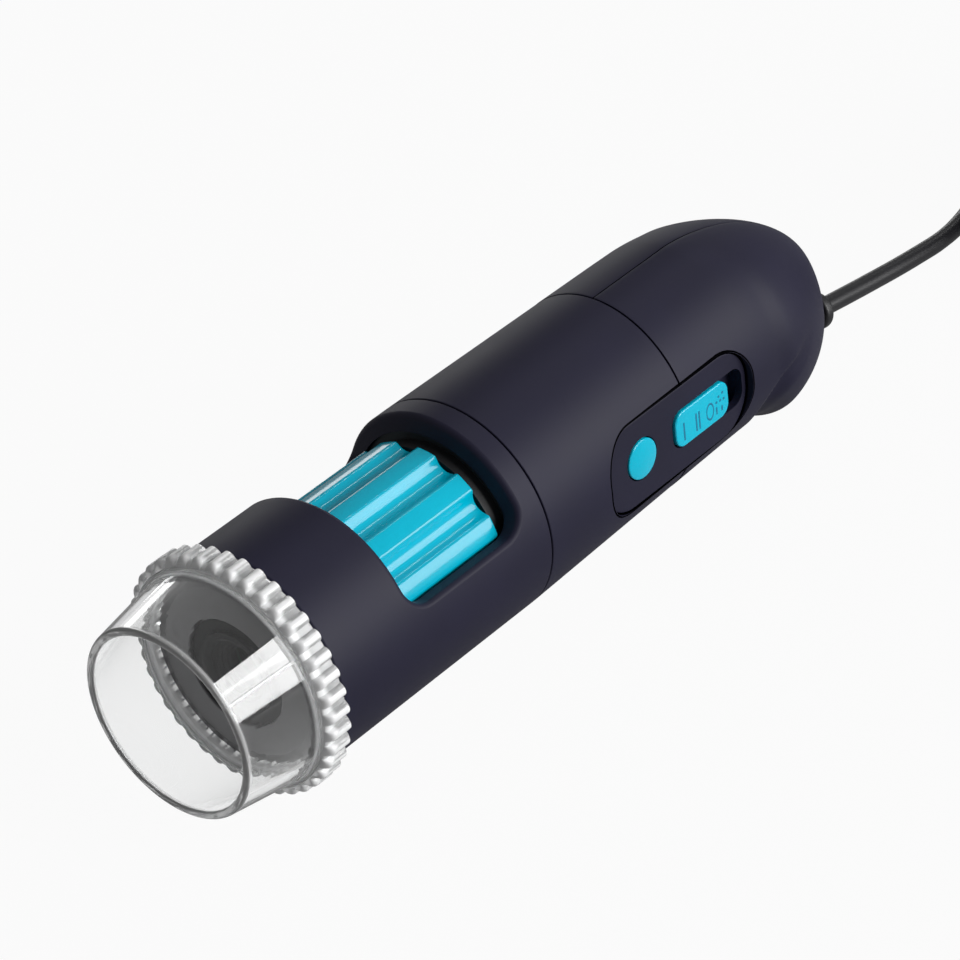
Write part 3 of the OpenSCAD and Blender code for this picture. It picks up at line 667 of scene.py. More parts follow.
def plate_gap_shade(wire, skin_edge=False):
    """1 where shade is painted: in the narrow gap round the button plate, or along the skin's edge beside it.
    """
    x, y, z = wire.axes()
    middle = spot(PLATE_X, 0, 0)
    along = wire.size(x - middle.x) - (PLATE_LEN / 2 - PLATE_CORNER) * MM
    across = wire.size(z - middle.z) - (PLATE_H / 2 - PLATE_CORNER) * MM
    past = wire.most(along, 0.0) ** 2.0 + wire.most(across, 0.0) ** 2.0
    off = past ** 0.5 - PLATE_CORNER * MM
    gap = wire.line(off - PLATE_GAP / 2 * MM, GAP_SHADE_LINE)
    if skin_edge:
        edge = wire.line(off - SKIN_SHADE_LINE_OFF * MM, SKIN_SHADE_LINE)
        gap = wire.most(gap * y.step(-(PLATE_Y + 0.4) * MM, -PLATE_Y * MM), edge)
    return gap * y.step(*(v * MM for v in BUTTONS_SIDE_Y))


def housing_gap_shade(wire):
    """1 where shade is painted: in the gap round the button plate and along the tail's parting line, which
    closes at the crown.
    """
    x, y = wire.axes()[:2]
    reach = x.step(station(TAIL_X - 0.1), station(TAIL_X)) * x.step(*map(station, SPLIT_FADE))
    return wire.most(plate_gap_shade(wire, True), wire.line(y, SPLIT_SHADE_LINE) * reach)


def moulded(name, colour, rough, grain=9000, depth=0.004, mottle=0.12, gap_shade=None, **sockets):
    """Moulded or painted plastic: faint mottling, uneven gloss, a fine grain, and painted shade, with a
    little dirt, in its seams.
    """
    material, wire = blank(name)
    cloud = wire.noise(70, 3)
    speck = wire.noise(grain, 2)
    tint = wire.blend((cloud * 0.7 + speck * 0.3).step(0.3, 0.7),
                      shifted(colour, 1 - mottle), shifted(colour, 1 + mottle))
    gloss = cloud * 0.08 + speck * 0.06 + (rough - 0.07)
    bump = wire.bump(speck + wire.noise(grain / 4, 1) * 0.5, depth)
    shader = principled(wire, Base_Color=tint, Roughness=gloss, Normal=bump, **sockets)
    if gap_shade:
        # Painted shade, with a little dirt: a near-black diffuse shader mixed in along the seams
        dark = wire.node("ShaderNodeBsdfDiffuse", inputs={"Color": (0.0008, 0.0008, 0.001, 1)})
        shader = wire.node("ShaderNodeMixShader", inputs={0: gap_shade(wire), 1: shader, 2: dark})
    return close(material, shader)


def clear_plastic():
    """Clear moulding with faint flow lines and scuffs, cloudier in its ribbed ring and at its rim; the extra
    white on the rib tops and the ring's front is painted highlight and painted reflection of the white
    surroundings.
    """
    material, wire = blank("clear_plastic")
    flow = wire.noise(90, 2)
    scuff = wire.noise(2600, 4).step(0.58, 0.72)
    bump = wire.bump(flow + scuff * 0.02, 0.03, 0.5)
    clear = principled(
        wire, Base_Color=wire.blend(flow, (0.97, 0.98, 0.98), (1.0, 1.0, 1.0)),
        Roughness=scuff * 0.05 + 0.015, Normal=bump, Transmission_Weight=1.0, IOR=1.57)
    cloudy = principled(wire, Base_Color=wire.blend(flow, (0.95, 0.96, 0.97), (1.0, 1.0, 1.0)),
                        Roughness=scuff * 0.1 + 0.12, Normal=bump)
    x, y, z = wire.axes()
    up = z - spot(0, 0, 0).z
    ring = x.step(station(RING_X - 0.4), station(RING_X + 0.3))
    front = x.step(station(RING_X + 1.9), station(RING_X + 0.9))
    # Painted highlight: the rib tops and the ring's front take more of the white shader, standing in for
    # highlights and the white background seen through them
    crest_highlight = ((y * y + up * up) ** 0.5).step((CROWN_R - 0.25 * RIB_R) * MM, (CROWN_R - 0.06 * RIB_R) * MM)
    cloud = ring * (wire.most(front, crest_highlight) * 0.6 + 0.34)
    line_a = math.radians(MOULD_LINE)
    off = y * math.cos(line_a) + up * math.sin(line_a)
    facing = (up * math.cos(line_a) - y * math.sin(line_a)).step(0.0, MM)
    line = (1 - ring) * facing * wire.line(off, MOULD_LINE_WIDTH) * 0.4
    rim = x.step(station(0.8), station(0.3)) * 0.5
    share = wire.most(wire.most(cloud, line), rim)
    return close(material, wire.node("ShaderNodeMixShader", inputs={0: share, 1: clear, 2: cloudy}))


def lens_glass():
    """Lens glass with a few specks of dust."""
    material, wire = blank("lens_glass")
    dust = wire.cells(2200).step(0.0, 0.08)
    return close(material, principled(
        wire, Base_Color=(0.9, 0.94, 1.0, 1), Roughness=0.06 - dust * 0.05,
        Transmission_Weight=1.0, IOR=1.6))


def metal(name, colour, rough, brush):
    """Metal with fine drawn lines along X."""
    material, wire = blank(name)
    stretch = wire.node("ShaderNodeMapping", inputs={"Vector": wire.place(), "Scale": brush})
    lines = wire.noise(1.0, 3, stretch)
    tint = wire.blend(lines, shifted(colour, 0.88), shifted(colour, 1.08))
    return close(material, principled(
        wire, Base_Color=tint, Roughness=lines * 0.18 + (rough - 0.09), Metallic=1.0,
        Normal=wire.bump(lines, 0.004)))


def circuit_board():
    """Solder mask over copper tracks, with bare pads."""
    material, wire = blank("circuit_board")
    tracks = wire.cells(420, "DISTANCE_TO_EDGE").step(0.05, 0.09)
    pads = wire.cells(650).step(0.13, 0.10)
    mask = wire.blend(tracks, (0.012, 0.10, 0.045), (0.006, 0.06, 0.028))
    tint = wire.blend(pads, mask, (0.75, 0.62, 0.35))
    height = (1 - tracks) + pads * 0.5
    return close(material, principled(
        wire, Base_Color=tint, Roughness=0.35 - pads * 0.1, Metallic=pads,
        Normal=wire.bump(height, 0.03)))


def cable_skin(colour):
    """Cable jacket: matt, with drawn streaks and faint ripples along its length."""
    material, wire = blank("cable_skin")
    run = wire.node("ShaderNodeTexCoord", output="UV")
    stretch = wire.node("ShaderNodeMapping", inputs={"Vector": run, "Scale": (900.0, 6.0, 1.0)})
    streak = wire.noise(1.0, 2, stretch)
    speck = wire.noise(7000, 2)
    tint = wire.blend(streak, shifted(colour, 0.8), shifted(colour, 1.3))
    return close(material, principled(
        wire, Base_Color=tint, Roughness=streak * 0.12 + speck * 0.1 + 0.27,
        Normal=wire.bump(streak * 0.6 + speck * 0.4, 0.012)))


def light_chip():
    """White light chip with a yellow phosphor spot."""
    material, wire = blank("light_chip")
    spots = wire.cells(1400).step(0.35, 0.2)
    tint = wire.blend(spots, (0.85, 0.85, 0.82), (0.9, 0.72, 0.2))
    return close(material, principled(wire, Base_Color=tint, Roughness=0.4 - spots * 0.15))


def finishes():
    """All materials by name, made once; a moulded one has its colour, roughness, grain, depth and mottle."""
    if "finish_set" not in STORE:
        c = bpy.context.scene.scope_finishes
        STORE["finish_set"] = {
            "body": moulded("soft_touch", tuple(c.body), 0.56, 9500, 0.0025, 0.10,
                            housing_gap_shade, Specular_IOR_Level=0.23),
            # Painted shade: the plate's paint is the body's made darker, for its flat face turned from the
            # light
            "plate": moulded("plate_soft_touch_shaded", shifted(tuple(c.body), 0.9), 0.54, 9500, 0.0025, 0.10,
                             plate_gap_shade, Specular_IOR_Level=0.23),
            "accent": moulded("accent_gloss", tuple(c.accent), 0.12, 2600, 0.0008, 0.05,
                              Specular_IOR_Level=0.4),
            # Painted shade for the engraved marks on the slide switch
            "marks": moulded("mark_shade_fill", tuple(c.marks), 0.45, 5000, 0.002, 0.10),
            "nose": moulded("nose_satin", tuple(c.nose), 0.34, 6500, 0.002, 0.14, Metallic=0.55),
            "hood": moulded("hood_matt", (0.022, 0.022, 0.023), 0.6, 5200, 0.006, 0.2,
                            Specular_IOR_Level=0.1),
            "cable": cable_skin(tuple(c.cable)),
            "relief": moulded("relief_rubber", tuple(c.cable), 0.46, 6000, 0.005, 0.2),
            "inner": moulded("inner_black", (0.018, 0.018, 0.02), 0.5, 4000, 0.006, 0.2),
            "white": moulded("connector_white", (0.72, 0.71, 0.67), 0.4, 3800, 0.004, 0.05),
            "chip": moulded("chip_epoxy", (0.02, 0.02, 0.021), 0.55, 8000, 0.006, 0.2),
            "flex": moulded("flex_amber", (0.42, 0.17, 0.03), 0.3, 2200, 0.003, 0.15),
            "clear": clear_plastic(),
            "lens": lens_glass(),
            "diffuser": moulded("diffuser_plastic", (0.004, 0.004, 0.005), 0.4, 5000, 0.002, 0.2,
                                Specular_IOR_Level=0.05),
            "led": light_chip(),
            "board": circuit_board(),
            "steel": metal("plated_steel", (0.70, 0.70, 0.71), 0.30, (60.0, 5000.0, 5000.0)),
            "gold": metal("gold_plate", (0.86, 0.62, 0.24), 0.24, (60.0, 4000.0, 4000.0)),
        }
    return STORE["finish_set"]


class SCOPE_OT_stage(bpy.types.Operator):
    """Adds the camera, the floor, the light and the white surroundings."""
    bl_idname = "scope.stage"
    bl_label = "Stage"

    def execute(self, context):
        p = context.scene.scope_stage
        deselect()
        turn = Matrix((CAMERA_RIGHT, CAMERA_UP, CAMERA_BACK)).transposed().to_4x4()
        bpy.ops.object.camera_add()
        camera = context.active_object
        camera.name = "photo_camera"
        camera.matrix_world = Matrix.Translation(CAMERA_AT) @ turn
        camera.data.lens = p.lens
        camera.data.sensor_width = SENSOR
        camera.data.clip_start = 0.01
        context.scene.camera = camera

        bpy.ops.mesh.primitive_plane_add(size=8, location=(0, 0, -0.0002))
        floor = fresh("floor")
        floor.data.materials.append(self.pale(p.gloss))
        self.surround(context.scene, p.fill, p.gloss)
        middle = Vector((0, 0, AXIS_HEIGHT * MM))
        for name, place, size, power in (
                ("key", (0.42, -0.62, 0.26), (0.5, 0.5), p.key),
                ("band", (0.149, -0.708, 0.357), (0.15, 0.64), p.band),
                ("strip", (0.45, 0.07, 0.61), (0.03, 0.45), p.strip),
                ("rim", (0.55, 0.72, 0.10), (0.5, 0.16), p.rim),
        ):
            bpy.ops.object.light_add(type="AREA", location=place)
            lamp = context.active_object
            lamp.name = name
            lamp.data.shape = "RECTANGLE"
            lamp.data.size, lamp.data.size_y = size
            lamp.data.energy = power
            lamp.rotation_euler = (middle - Vector(place)).to_track_quat("-Z", "Y").to_euler()
        context.scene.view_settings.view_transform = "Standard"
        return {"FINISHED"}

    def seen(self, wire, gloss, clear=1.0):
        """1 for what the camera looks at, with shares for a reflection and for a clear piece."""
        rays = [wire.node("ShaderNodeLightPath", output=n)
                for n in ("Is Camera Ray", "Is Glossy Ray", "Is Transmission Ray")]
        return (rays[0] + rays[1] * gloss + rays[2] * clear).clamp()

    def pale(self, gloss):
        """A white floor that keeps a faint shadow."""
        material, wire = blank("floor_pale")
        cloth = wire.node("ShaderNodeBsdfDiffuse", inputs={"Color": (FLOOR_TONE, FLOOR_TONE, FLOOR_TONE, 1)})
        glow = wire.node("ShaderNodeEmission", inputs={"Color": (1, 1, 1, 1), "Strength": 1.0})
        share = self.seen(wire, gloss) * FLOOR_SHARE
        return close(material, wire.node("ShaderNodeMixShader", inputs={0: share, 1: cloth, 2: glow}))

    def surround(self, scene, fill, gloss):
        """White surroundings for the camera; a clear piece shows less of them high up."""
        world = bpy.data.worlds.new("white_room")
        scene.world = world
        world.use_nodes = True
        world.node_tree.nodes.clear()
        wire = Wire(world.node_tree)
        dim = wire.node("ShaderNodeBackground", inputs={"Color": (1, 1, 1, 1), "Strength": fill})
        plain = wire.node("ShaderNodeBackground", inputs={"Color": (1, 1, 1, 1), "Strength": SKY_TONE})
        sky = wire.node("ShaderNodeTexCoord", output="Generated")
        height = wire.node("ShaderNodeSeparateXYZ", inputs={0: sky}, output="Z")
        clear = height.step(0.5, 0.1) * (1 - gloss) + gloss
        mix = wire.node("ShaderNodeMixShader", inputs={0: self.seen(wire, gloss, clear), 1: dim, 2: plain})
        wire.node("ShaderNodeOutputWorld", inputs={0: mix})


def relief_dir():
    """The direction in which the cable leaves the tail."""
    return Vector((math.cos(EXIT_TILT), 0, -math.sin(EXIT_TILT)))


def wound(b):
    """A point on the coil after b degrees of winding."""
    k = min(int(b // (LAYER_TURN + 180)), COIL_LAYERS - 1)
    d = b - k * (LAYER_TURN + 180)
    f = min(d / LAYER_TURN, 1)
    ends = (COIL_R, COIL_IN_R) if k % 2 == 0 else (COIL_IN_R, COIL_R)
    r = ends[0] + (ends[1] - ends[0]) * f
    low = LIE_Z + k * LAYER_RISE
    high = PLUG_Z if k == COIL_LAYERS - 1 else low + LAYER_RISE
    t = math.radians(b)
    return (COIL_C[0] + r * math.sin(t), COIL_C[1] + r * math.cos(t),
            low + (high - low) * smooth((d - LAYER_TURN) / 180))


def bend_centre():
    """Centre of the last bend, which brings the cable from the coil to the plug."""
    t = math.radians(WIND_TURN)
    return (COIL_C[0] + (COIL_R - BEND_R) * math.sin(t), COIL_C[1] + (COIL_R - BEND_R) * math.cos(t))


def plug_start():
    """The end of the cable, where the plug's grip begins."""
    c = bend_centre()
    return Vector((c[0] + LEAD, c[1] + BEND_R, PLUG_Z))


def cable_route():
    """The cable's centre line, from inside the strain relief to inside the plug."""
    c = bend_centre()
    points = [tuple(EXIT + relief_dir() * s) for s in (RELIEF[1] - 3, RELIEF[1])]
    points += [(TAIL_END + x, y, z) for x, y, z in ROUTE]
    points += [(COIL_C[0] - x, COIL_C[1] + COIL_R, LIE_Z) for x in (LEAD + 1, LEAD)]
    points += [wound(b) for b in range(0, WIND_TURN + 1, 15)]
    for b in range(15, BEND_TURN + 1, 15):
        t = math.radians(WIND_TURN + b)
        points.append((c[0] + BEND_R * math.sin(t), c[1] + BEND_R * math.cos(t), PLUG_Z))
    end = plug_start()
    points += [tuple(end), (end.x + 3, end.y, end.z)]
    return points


class SCOPE_OT_cable(bpy.types.Operator):
    """Lays the cable, winds its coil, and adds the strain relief and the tie."""
    bl_idname = "scope.cable"
    bl_label = "Cable"

    def execute(self, context):
        finish = finishes()
        relief = dress(self.relief(), finish["relief"], "housing", "cord", "strain_relief")
        tie = dress(self.tie(), finish["inner"], "housing", "cord")
        curve = bpy.data.curves.new("cable_run", "CURVE")
        curve.dimensions = "3D"
        curve.bevel_depth = CABLE_R * MM
        curve.bevel_resolution = 4
        curve.use_fill_caps = True
        points = cable_route()
        spline = curve.splines.new("BEZIER")
        spline.bezier_points.add(len(points) - 1)
        spline.resolution_u = 5
        for knot, p in zip(spline.bezier_points, points):
            knot.co = on_table(*p)
            knot.handle_left_type = "AUTO"
            knot.handle_right_type = "AUTO"
        cable = bpy.data.objects.new("cable_run", curve)
        context.collection.objects.link(cable)
        curve.materials.append(finish["cable"])
        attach(cable, "housing")
        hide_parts("cable", "cable_coil")
        plugs = [NODES[n] for n in ("plug_tongue", "plug_contacts")]
        STORE["cable"] = (cable, [relief, tie] + plugs)
        return {"FINISHED"}

    def relief(self):
        """A turned neck with a rounded collar, about the cable's exit direction."""
        side = Vector((math.sin(EXIT_TILT), 0, math.cos(EXIT_TILT)))
        start, end = RELIEF
        foot, collar, tip = start + 1.3, end - 2.8, end - 1.0
        outline = eased([
            (start, 0, 0), (start, NECK_R + 1, 0.2), (foot, NECK_R + 1, 0.2), (foot, NECK_R, 0),
            (collar, NECK_R, 0.25), (collar, COLLAR_R, 0.5), (tip, COLLAR_R, 0.5),
            (tip, NECK_R - 0.1, 0.2), (end, CABLE_R + 0.15, 0.1), (end, 0, 0)])
        return turned("strain_relief_neck", outline, 64, on_table(*EXIT), relief_dir(), side)

    def tie(self):
        """A flat strap looped round the coil's bundle, as a rounded ring swept round."""
        inner, outer = COIL_IN_R - CABLE_R - 0.1, COIL_R + CABLE_R + 0.1
        top = LIE_Z + (COIL_LAYERS - 1) * LAYER_RISE + CABLE_R + 0.1

        def strap(grow, r):
            near, far, low, high = inner - grow, outer + grow, TIE_T - grow, top + grow
            return eased([(near, low, r), (far, low, r), (far, high, r), (near, high, r)], 6)

        loop = strap(0, 2.2)
        ring = strap(TIE_T, 2.5)

        def place(i, k):
            side = (loop, ring, ring, loop, loop)[k][i % len(loop)]
            off = (-TIE_HALF, -TIE_HALF, TIE_HALF, TIE_HALF, -TIE_HALF)[k]
            return on_table(COIL_C[0] + side.x * math.sin(TIE_TURN) + off * math.cos(TIE_TURN),
                            COIL_C[1] + side.x * math.cos(TIE_TURN) - off * math.sin(TIE_TURN), side.y)

        return formed("coil_tie", len(loop), 4, place)


class SCOPE_OT_plug(bpy.types.Operator):
    """Models the plug's moulded grip and folded steel shell; its tongue and contacts keep their CAD shape."""
    bl_idname = "scope.plug"
    bl_label = "Plug"

    def execute(self, context):
        finish = finishes()
        start = plug_start()
        grip = self.grip(start)
        shell = self.shell(start)
        dress(grip, finish["relief"], "housing", "cord", "plug_body")
        dress(shell, finish["steel"], "housing", "steel", "plug_shell", angle=50)
        cable, carried = STORE["cable"]
        tuple(on_table(*(EXIT + relief_dir() * RELIEF[1])))
        carried + [grip, shell]
        return {"FINISHED"}

    def grip(self, start):
        """Rounded rings from a slim neck to the full grip: place along the plug, width, height, corner."""
        rings = ((0, 5.2, 5.2, 2.55), (4.5, 5.2, 5.2, 2.55), (5.4, 5.6, 5.4, 2.6), (6.2, 9.0, 6.6, 2.6),
                 (7.2, 13.6, 7.5, 2.4), (8.6, 15.0, 7.7, 2.2), (10.5, 15.6, 7.8, 2.2), (23.6, 15.6, 7.8, 2.2),
                 (24.6, 15.3, 7.5, 2.1), (25.0, 14.7, 6.9, 1.9))
        corner_bits = 7
        around = 4 * (corner_bits + 1)

        def place(i, k):
            if k == 0 or k == len(rings) + 1:
                return on_table(start.x + (0 if k == 0 else PLUG_BODY_LEN), start.y, start.z)
            s, w, h, r = rings[k - 1]
            p = oblong(w, h, r, corner_bits)[i % around]
            return on_table(start.x + s, start.y + p.x, start.z + p.y)

        piece = formed("plug_grip", around, len(rings) + 1, place)
        for k in range(GROOVES):
            for up in (-1, 1):
                cut(piece, self.bar(start, GROOVE_X + GROOVE_PITCH * k, 0, up * 4.0, (0.9, 9.0, 0.9)))
        return piece

    def bar(self, start, x, y, z, size):
        """A square cutter placed from the plug's start."""
        deselect()
        bpy.ops.mesh.primitive_cube_add(size=1, location=on_table(start.x + x, start.y + y, start.z + z))
        bpy.context.active_object.scale = Vector(size) * MM
        return fresh("bar")

    def shell(self, start):
        """A square tube with rounded folds and two latch holes on each broad face."""
        out = oblong(*PLUG_SHELL, 0.5, 4)
        inn = oblong(*(s - 2 * PLUG_SHELL_WALL for s in PLUG_SHELL), 0.25, 4)
        first, last = PLUG_BODY_LEN - 0.4, PLUG_BODY_LEN + PLUG_SHELL_LEN

        def place(i, k):
            side = (out, out, inn, inn, out)[k][i % len(out)]
            x = (first, last, last, first, first)[k]
            return on_table(start.x + x, start.y + side.x, start.z + side.y)

        piece = formed("plug_shell_folded", len(out), 4, place)
        cut(piece, *[self.bar(start, LATCH_X, s * LATCH_Y, 0, (2.5, 2.2, 8)) for s in (-1, 1)])
        return soften(piece, 0.08, 2)


class SCOPE_OT_cap(bpy.types.Operator):
    """Models the clear cap: flared shroud and ribbed ring in one moulding."""
    bl_idname = "scope.cap"
    bl_label = "Clear cap"

    def execute(self, context):
        base = CROWN_R - RIB_R
        plain = eased([
            (RING_END, CAP_BORE_R, 0.2), (RING_X + 0.7, CAP_BORE_R, 0.2),
            (RING_X + 0.45, SHROUD_END_R - SHROUD_WALL, 0.1), (0, RIM_R - SHROUD_WALL, 0.3),
            (0, RIM_R, 0.45), (RING_X - 0.1, SHROUD_END_R, 0.35), (RING_X, base - 0.5, 0.3)], 4)
        ring = []
        for t in (0.0, 0.05, 0.15, 0.3, 0.5, 0.75, 1.0):
            swell = math.sqrt(1 - (1 - t) ** 2)
            ring.append((RING_X + t, base - 0.5 + 0.5 * swell, swell))
        for t in (0.45, 0.65, 0.8, 0.9):
            ring.append((RING_X + (RING_END - RING_X) * t, base, 1.0))
        for t in (0.75, 0.5, 0.25, 0.1, 0.0):
            ring.append((RING_END - 0.4 * t, base - 0.2 * (1 - t) ** 2, math.sqrt(1 - (1 - t) ** 2)))
        outline = [(p.x, p.y, 0.0) for p in plain] + ring
        outline.append(outline[0])
        pitch = 2 * math.pi * base / CAP_RIBS
        across = (-RIB_R, -0.86, -0.72, -0.5, -0.25, 0.0, 0.25, 0.5, 0.72, 0.86, RIB_R, pitch / 2)

        def place(i, k):
            x, r, weight = outline[k]
            rib, bit = divmod(i, len(across))
            d = across[bit]
            rise = math.sqrt(max(RIB_R ** 2 - d ** 2, 0))
            return about(x, r + weight * rise, rib * 2 * math.pi / CAP_RIBS + d / base)

        cap = formed("clear_cap_moulding", CAP_RIBS * len(across), len(outline) - 1, place)
        dress(cap, finishes()["clear"], "cap", "clear", "clear_cap", angle=40)
        return {"FINISHED"}


class SCOPE_OT_nose(bpy.types.Operator):
    """Models the face inside the cap: bezel, smoked ring and lens hood."""
    bl_idname = "scope.nose"
    bl_label = "Nose"

    def execute(self, context):
        finish = finishes()
        bezel = turned("nose_face", eased([
            (FACE_X, WELL_R, 0.25), (FACE_X, FACE_R, 0.5), (FACE_X + 0.7, SPIGOT_R - NOSE_FIT, 0.25),
            (NOSE_END, SPIGOT_R - NOSE_FIT, 0.1), (NOSE_END, NOSE_BORE_R, 0.1), (BOARD_X, NOSE_BORE_R, 0),
            (BOARD_X, WELL_R, 0)]))
        dress(bezel, finish["nose"], "housing", "dark_grey", "nose_bezel")
        ring = turned("smoked_ring", eased([
            (DIFFUSER_X[0], WELL_R - NOSE_FIT, 0.1), (DIFFUSER_X[1], WELL_R - NOSE_FIT, 0.05),
            (DIFFUSER_X[1], HOOD_R + NOSE_FIT, 0.05), (DIFFUSER_X[0], HOOD_R + NOSE_FIT, 0.1)], 3))
        dress(ring, finish["diffuser"], "housing", "black", "led_diffuser")
        steps = []
        for k in range(HOOD_STEPS):
            x = BOARD_X - 1.2 - HOOD_RUN * k
            r = HOOD_EYE_R + HOOD_RISE * k
            steps += [(x, r, 0), (x - 0.22, r + 0.04, 0)]
        hood = turned("stepped_hood", eased(
            [(FACE_X + 0.1, HOOD_R - 0.9, 0.15), (FACE_X + 0.1, HOOD_R, 0.15), (BOARD_X, HOOD_R, 0),
             (BOARD_X, 3.0, 0)] + steps))
        dress(hood, finish["hood"], "housing", "dark_grey", "lens_hood")
        return {"FINISHED"}


class SCOPE_OT_front_sleeve(bpy.types.Operator):
    """Models the front sleeve and cuts the dial's window with its flared corners."""
    bl_idname = "scope.front_sleeve"
    bl_label = "Front sleeve"

    def execute(self, context):
        edge = context.scene.scope_sizes.edge / MM
        sleeve = turned("front_sleeve_skin", eased([
            (FRONT_X, SPIGOT_R, 0), (FRONT_X, BARREL_R, 0.5), (FRONT_END, BARREL_R, edge),
            (FRONT_END, BORE_R, 0), (NOSE_END, BORE_R, 0), (NOSE_END, SPIGOT_R, 0)], 4), 180)
        cut(sleeve, self.window())
        soften(sleeve, 0.2, 3)
        dress(sleeve, finishes()["body"], "housing", "charcoal", "front_sleeve")
        return {"FINISHED"}

    def window(self):
        """A wedge swept round the barrel; its walls curl outwards at the skin, and its ends are rounded."""
        bits, middle = 10, 40
        count = 2 * bits + middle
        wall = [(BORE_R - 4, 0.0)]
        turns = [math.radians(t) for t in range(0, 90, 15)]
        for t in turns:
            wall.append((BARREL_R - WINDOW_ROUND * (1 - math.sin(t)), WINDOW_ROUND * (1 - math.cos(t))))
        wall.append((BARREL_R + 0.6, wall[-1][1] + 0.6 * math.tan(turns[-1])))
        ring = [(r, w, -1) for r, w in wall] + [(r, w, 1) for r, w in reversed(wall)]

        def place(i, k):
            r, curl, side = ring[i % len(ring)]
            row = min(max(k - 1, 0), count)
            turn = WINDOW_TURN * (2 * min(max((row - bits) / middle, 0), 1) - 1)
            lean = math.pi / 2 * (min(row / bits - 1, 0) + max((row - bits - middle) / bits, 0))
            flare = WINDOW_FLARE * math.sin(lean)
            a = math.radians(WINDOW_MID + turn) + math.atan(flare) + curl / r * math.sin(lean)
            out = WINDOW_FLARE * math.cos(lean) / math.sqrt(1 + flare ** 2)
            x = WINDOW_APEX[0 if side < 0 else 1] + side * (r * out + curl * math.cos(lean))
            return about(x if 0 < k < count + 2 else sum(WINDOW_APEX) / 2, r, a)

        return formed("window_cutter", len(ring), count + 2, place)


class SCOPE_OT_dial(bpy.types.Operator):
    """Models the ribbed focus dial as one ring with rounded ends."""
    bl_idname = "scope.dial"
    bl_label = "Focus dial"

    def execute(self, context):
        bits = 24

        def radius(a):
            """Outer radius at an angle from a ridge: the drum less the round valleys."""
            d = abs(a) - math.pi / DIAL_RIBS
            reach = VALLEY_R ** 2 - (VALLEY_C * math.sin(d)) ** 2
            valley = VALLEY_C * math.cos(d) - math.sqrt(reach) if reach > 0 else DIAL_R
            low = min(valley, DIAL_R)
            both = math.exp(RIDGE_SOFT * (low - valley)) + math.exp(RIDGE_SOFT * (low - DIAL_R))
            return low - math.log(both) / RIDGE_SOFT

        first, last = DIAL_X
        start, end = round_ends(first, last, DIAL_ROUND, 6)
        outline = [(first, CORE_R, 0)] + [(x, None, drop) for x, drop in start + end]
        outline += [(last, CORE_R, 0), (first, CORE_R, 0)]
        pitch = 2 * math.pi / DIAL_RIBS

        def place(i, k):
            x, r, drop = outline[k]
            a = pitch * i / bits
            off = (a + pitch / 2) % pitch - pitch / 2
            return about(x, r if r else radius(off) - drop, a + math.radians(DIAL_PHASE))

        dial = formed("ribbed_dial", DIAL_RIBS * bits, len(outline) - 1, place)
        dress(dial, finishes()["accent"], "dial", "cyan", "focus_dial", angle=50)
        return {"FINISHED"}


def plate_cutter():
    """Cutter for the recess that the button plate lies in."""
    return slab("recess", PLATE_X, 0, PLATE_LEN + 2 * PLATE_GAP, PLATE_H + 2 * PLATE_GAP,
                PLATE_CORNER + PLATE_GAP, PLATE_IN_Y, PLATE_IN_Y + 8, 14)


def openings():
    """Cutters for the room behind the button and the slide switch."""
    mid = KNOB_X + KNOB_LEN / 2 + SLIDE_TRAVEL / 2
    low, high = PAD_Y - 3, PLATE_IN_Y + 0.5
    reach = LEVER_W + SLIDE_TRAVEL + 0.8
    return [rod("button_room", BUTTON_X, 0, BUTTON_R + 1.0, low, high),
            slab("slider_room", mid, 0, SLOT_LEN, SLIDER_FLANGE_H + 0.6, 0, SLIDER_FLOOR, high),
            slab("lever_room", mid, 0, reach, LEVER_W + 0.6, 0, low, SLIDER_FLOOR + 0.5)]


def backed(shell, first, last):
    """Adds the pad behind the button plate, with the openings of the controls."""
    name = shell.name
    pad = slab("pad", (first + last) / 2, 0, last - first, PLATE_H, 0, PAD_Y, PLATE_IN_Y - 0.02)
    return join([shell, cut(pad, *openings())], name)


class SCOPE_OT_mid_sleeve(bpy.types.Operator):
    """Models the middle sleeve and cuts the recess for the button plate."""
    bl_idname = "scope.mid_sleeve"
    bl_label = "Middle sleeve"

    def execute(self, context):
        edge = context.scene.scope_sizes.edge / MM
        around = 180
        start, end = round_ends(MID_X, MID_END, edge, 3)
        middle = [(MID_X + (MID_END - MID_X) * t / 4, 0.0) for t in (1, 2, 3)]
        outline = [(MID_X, None)] + start + middle + end + [(MID_END, None), (MID_X, None)]

        def place(i, k):
            x, inset = outline[k]
            a = 2 * math.pi * i / around
            return about(x, MID_BORE_R, a) if inset is None else skin(x, a, inset)

        sleeve = formed("mid_sleeve_skin", around, len(outline) - 1, place)
        cut(sleeve, plate_cutter())
        backed(sleeve, PLATE_X - PLATE_LEN / 2 - 2, MID_END)
        soften(sleeve, 0.12, 2)
        dress(sleeve, finishes()["body"], "housing", "charcoal", "mid_sleeve")
        return {"FINISHED"}


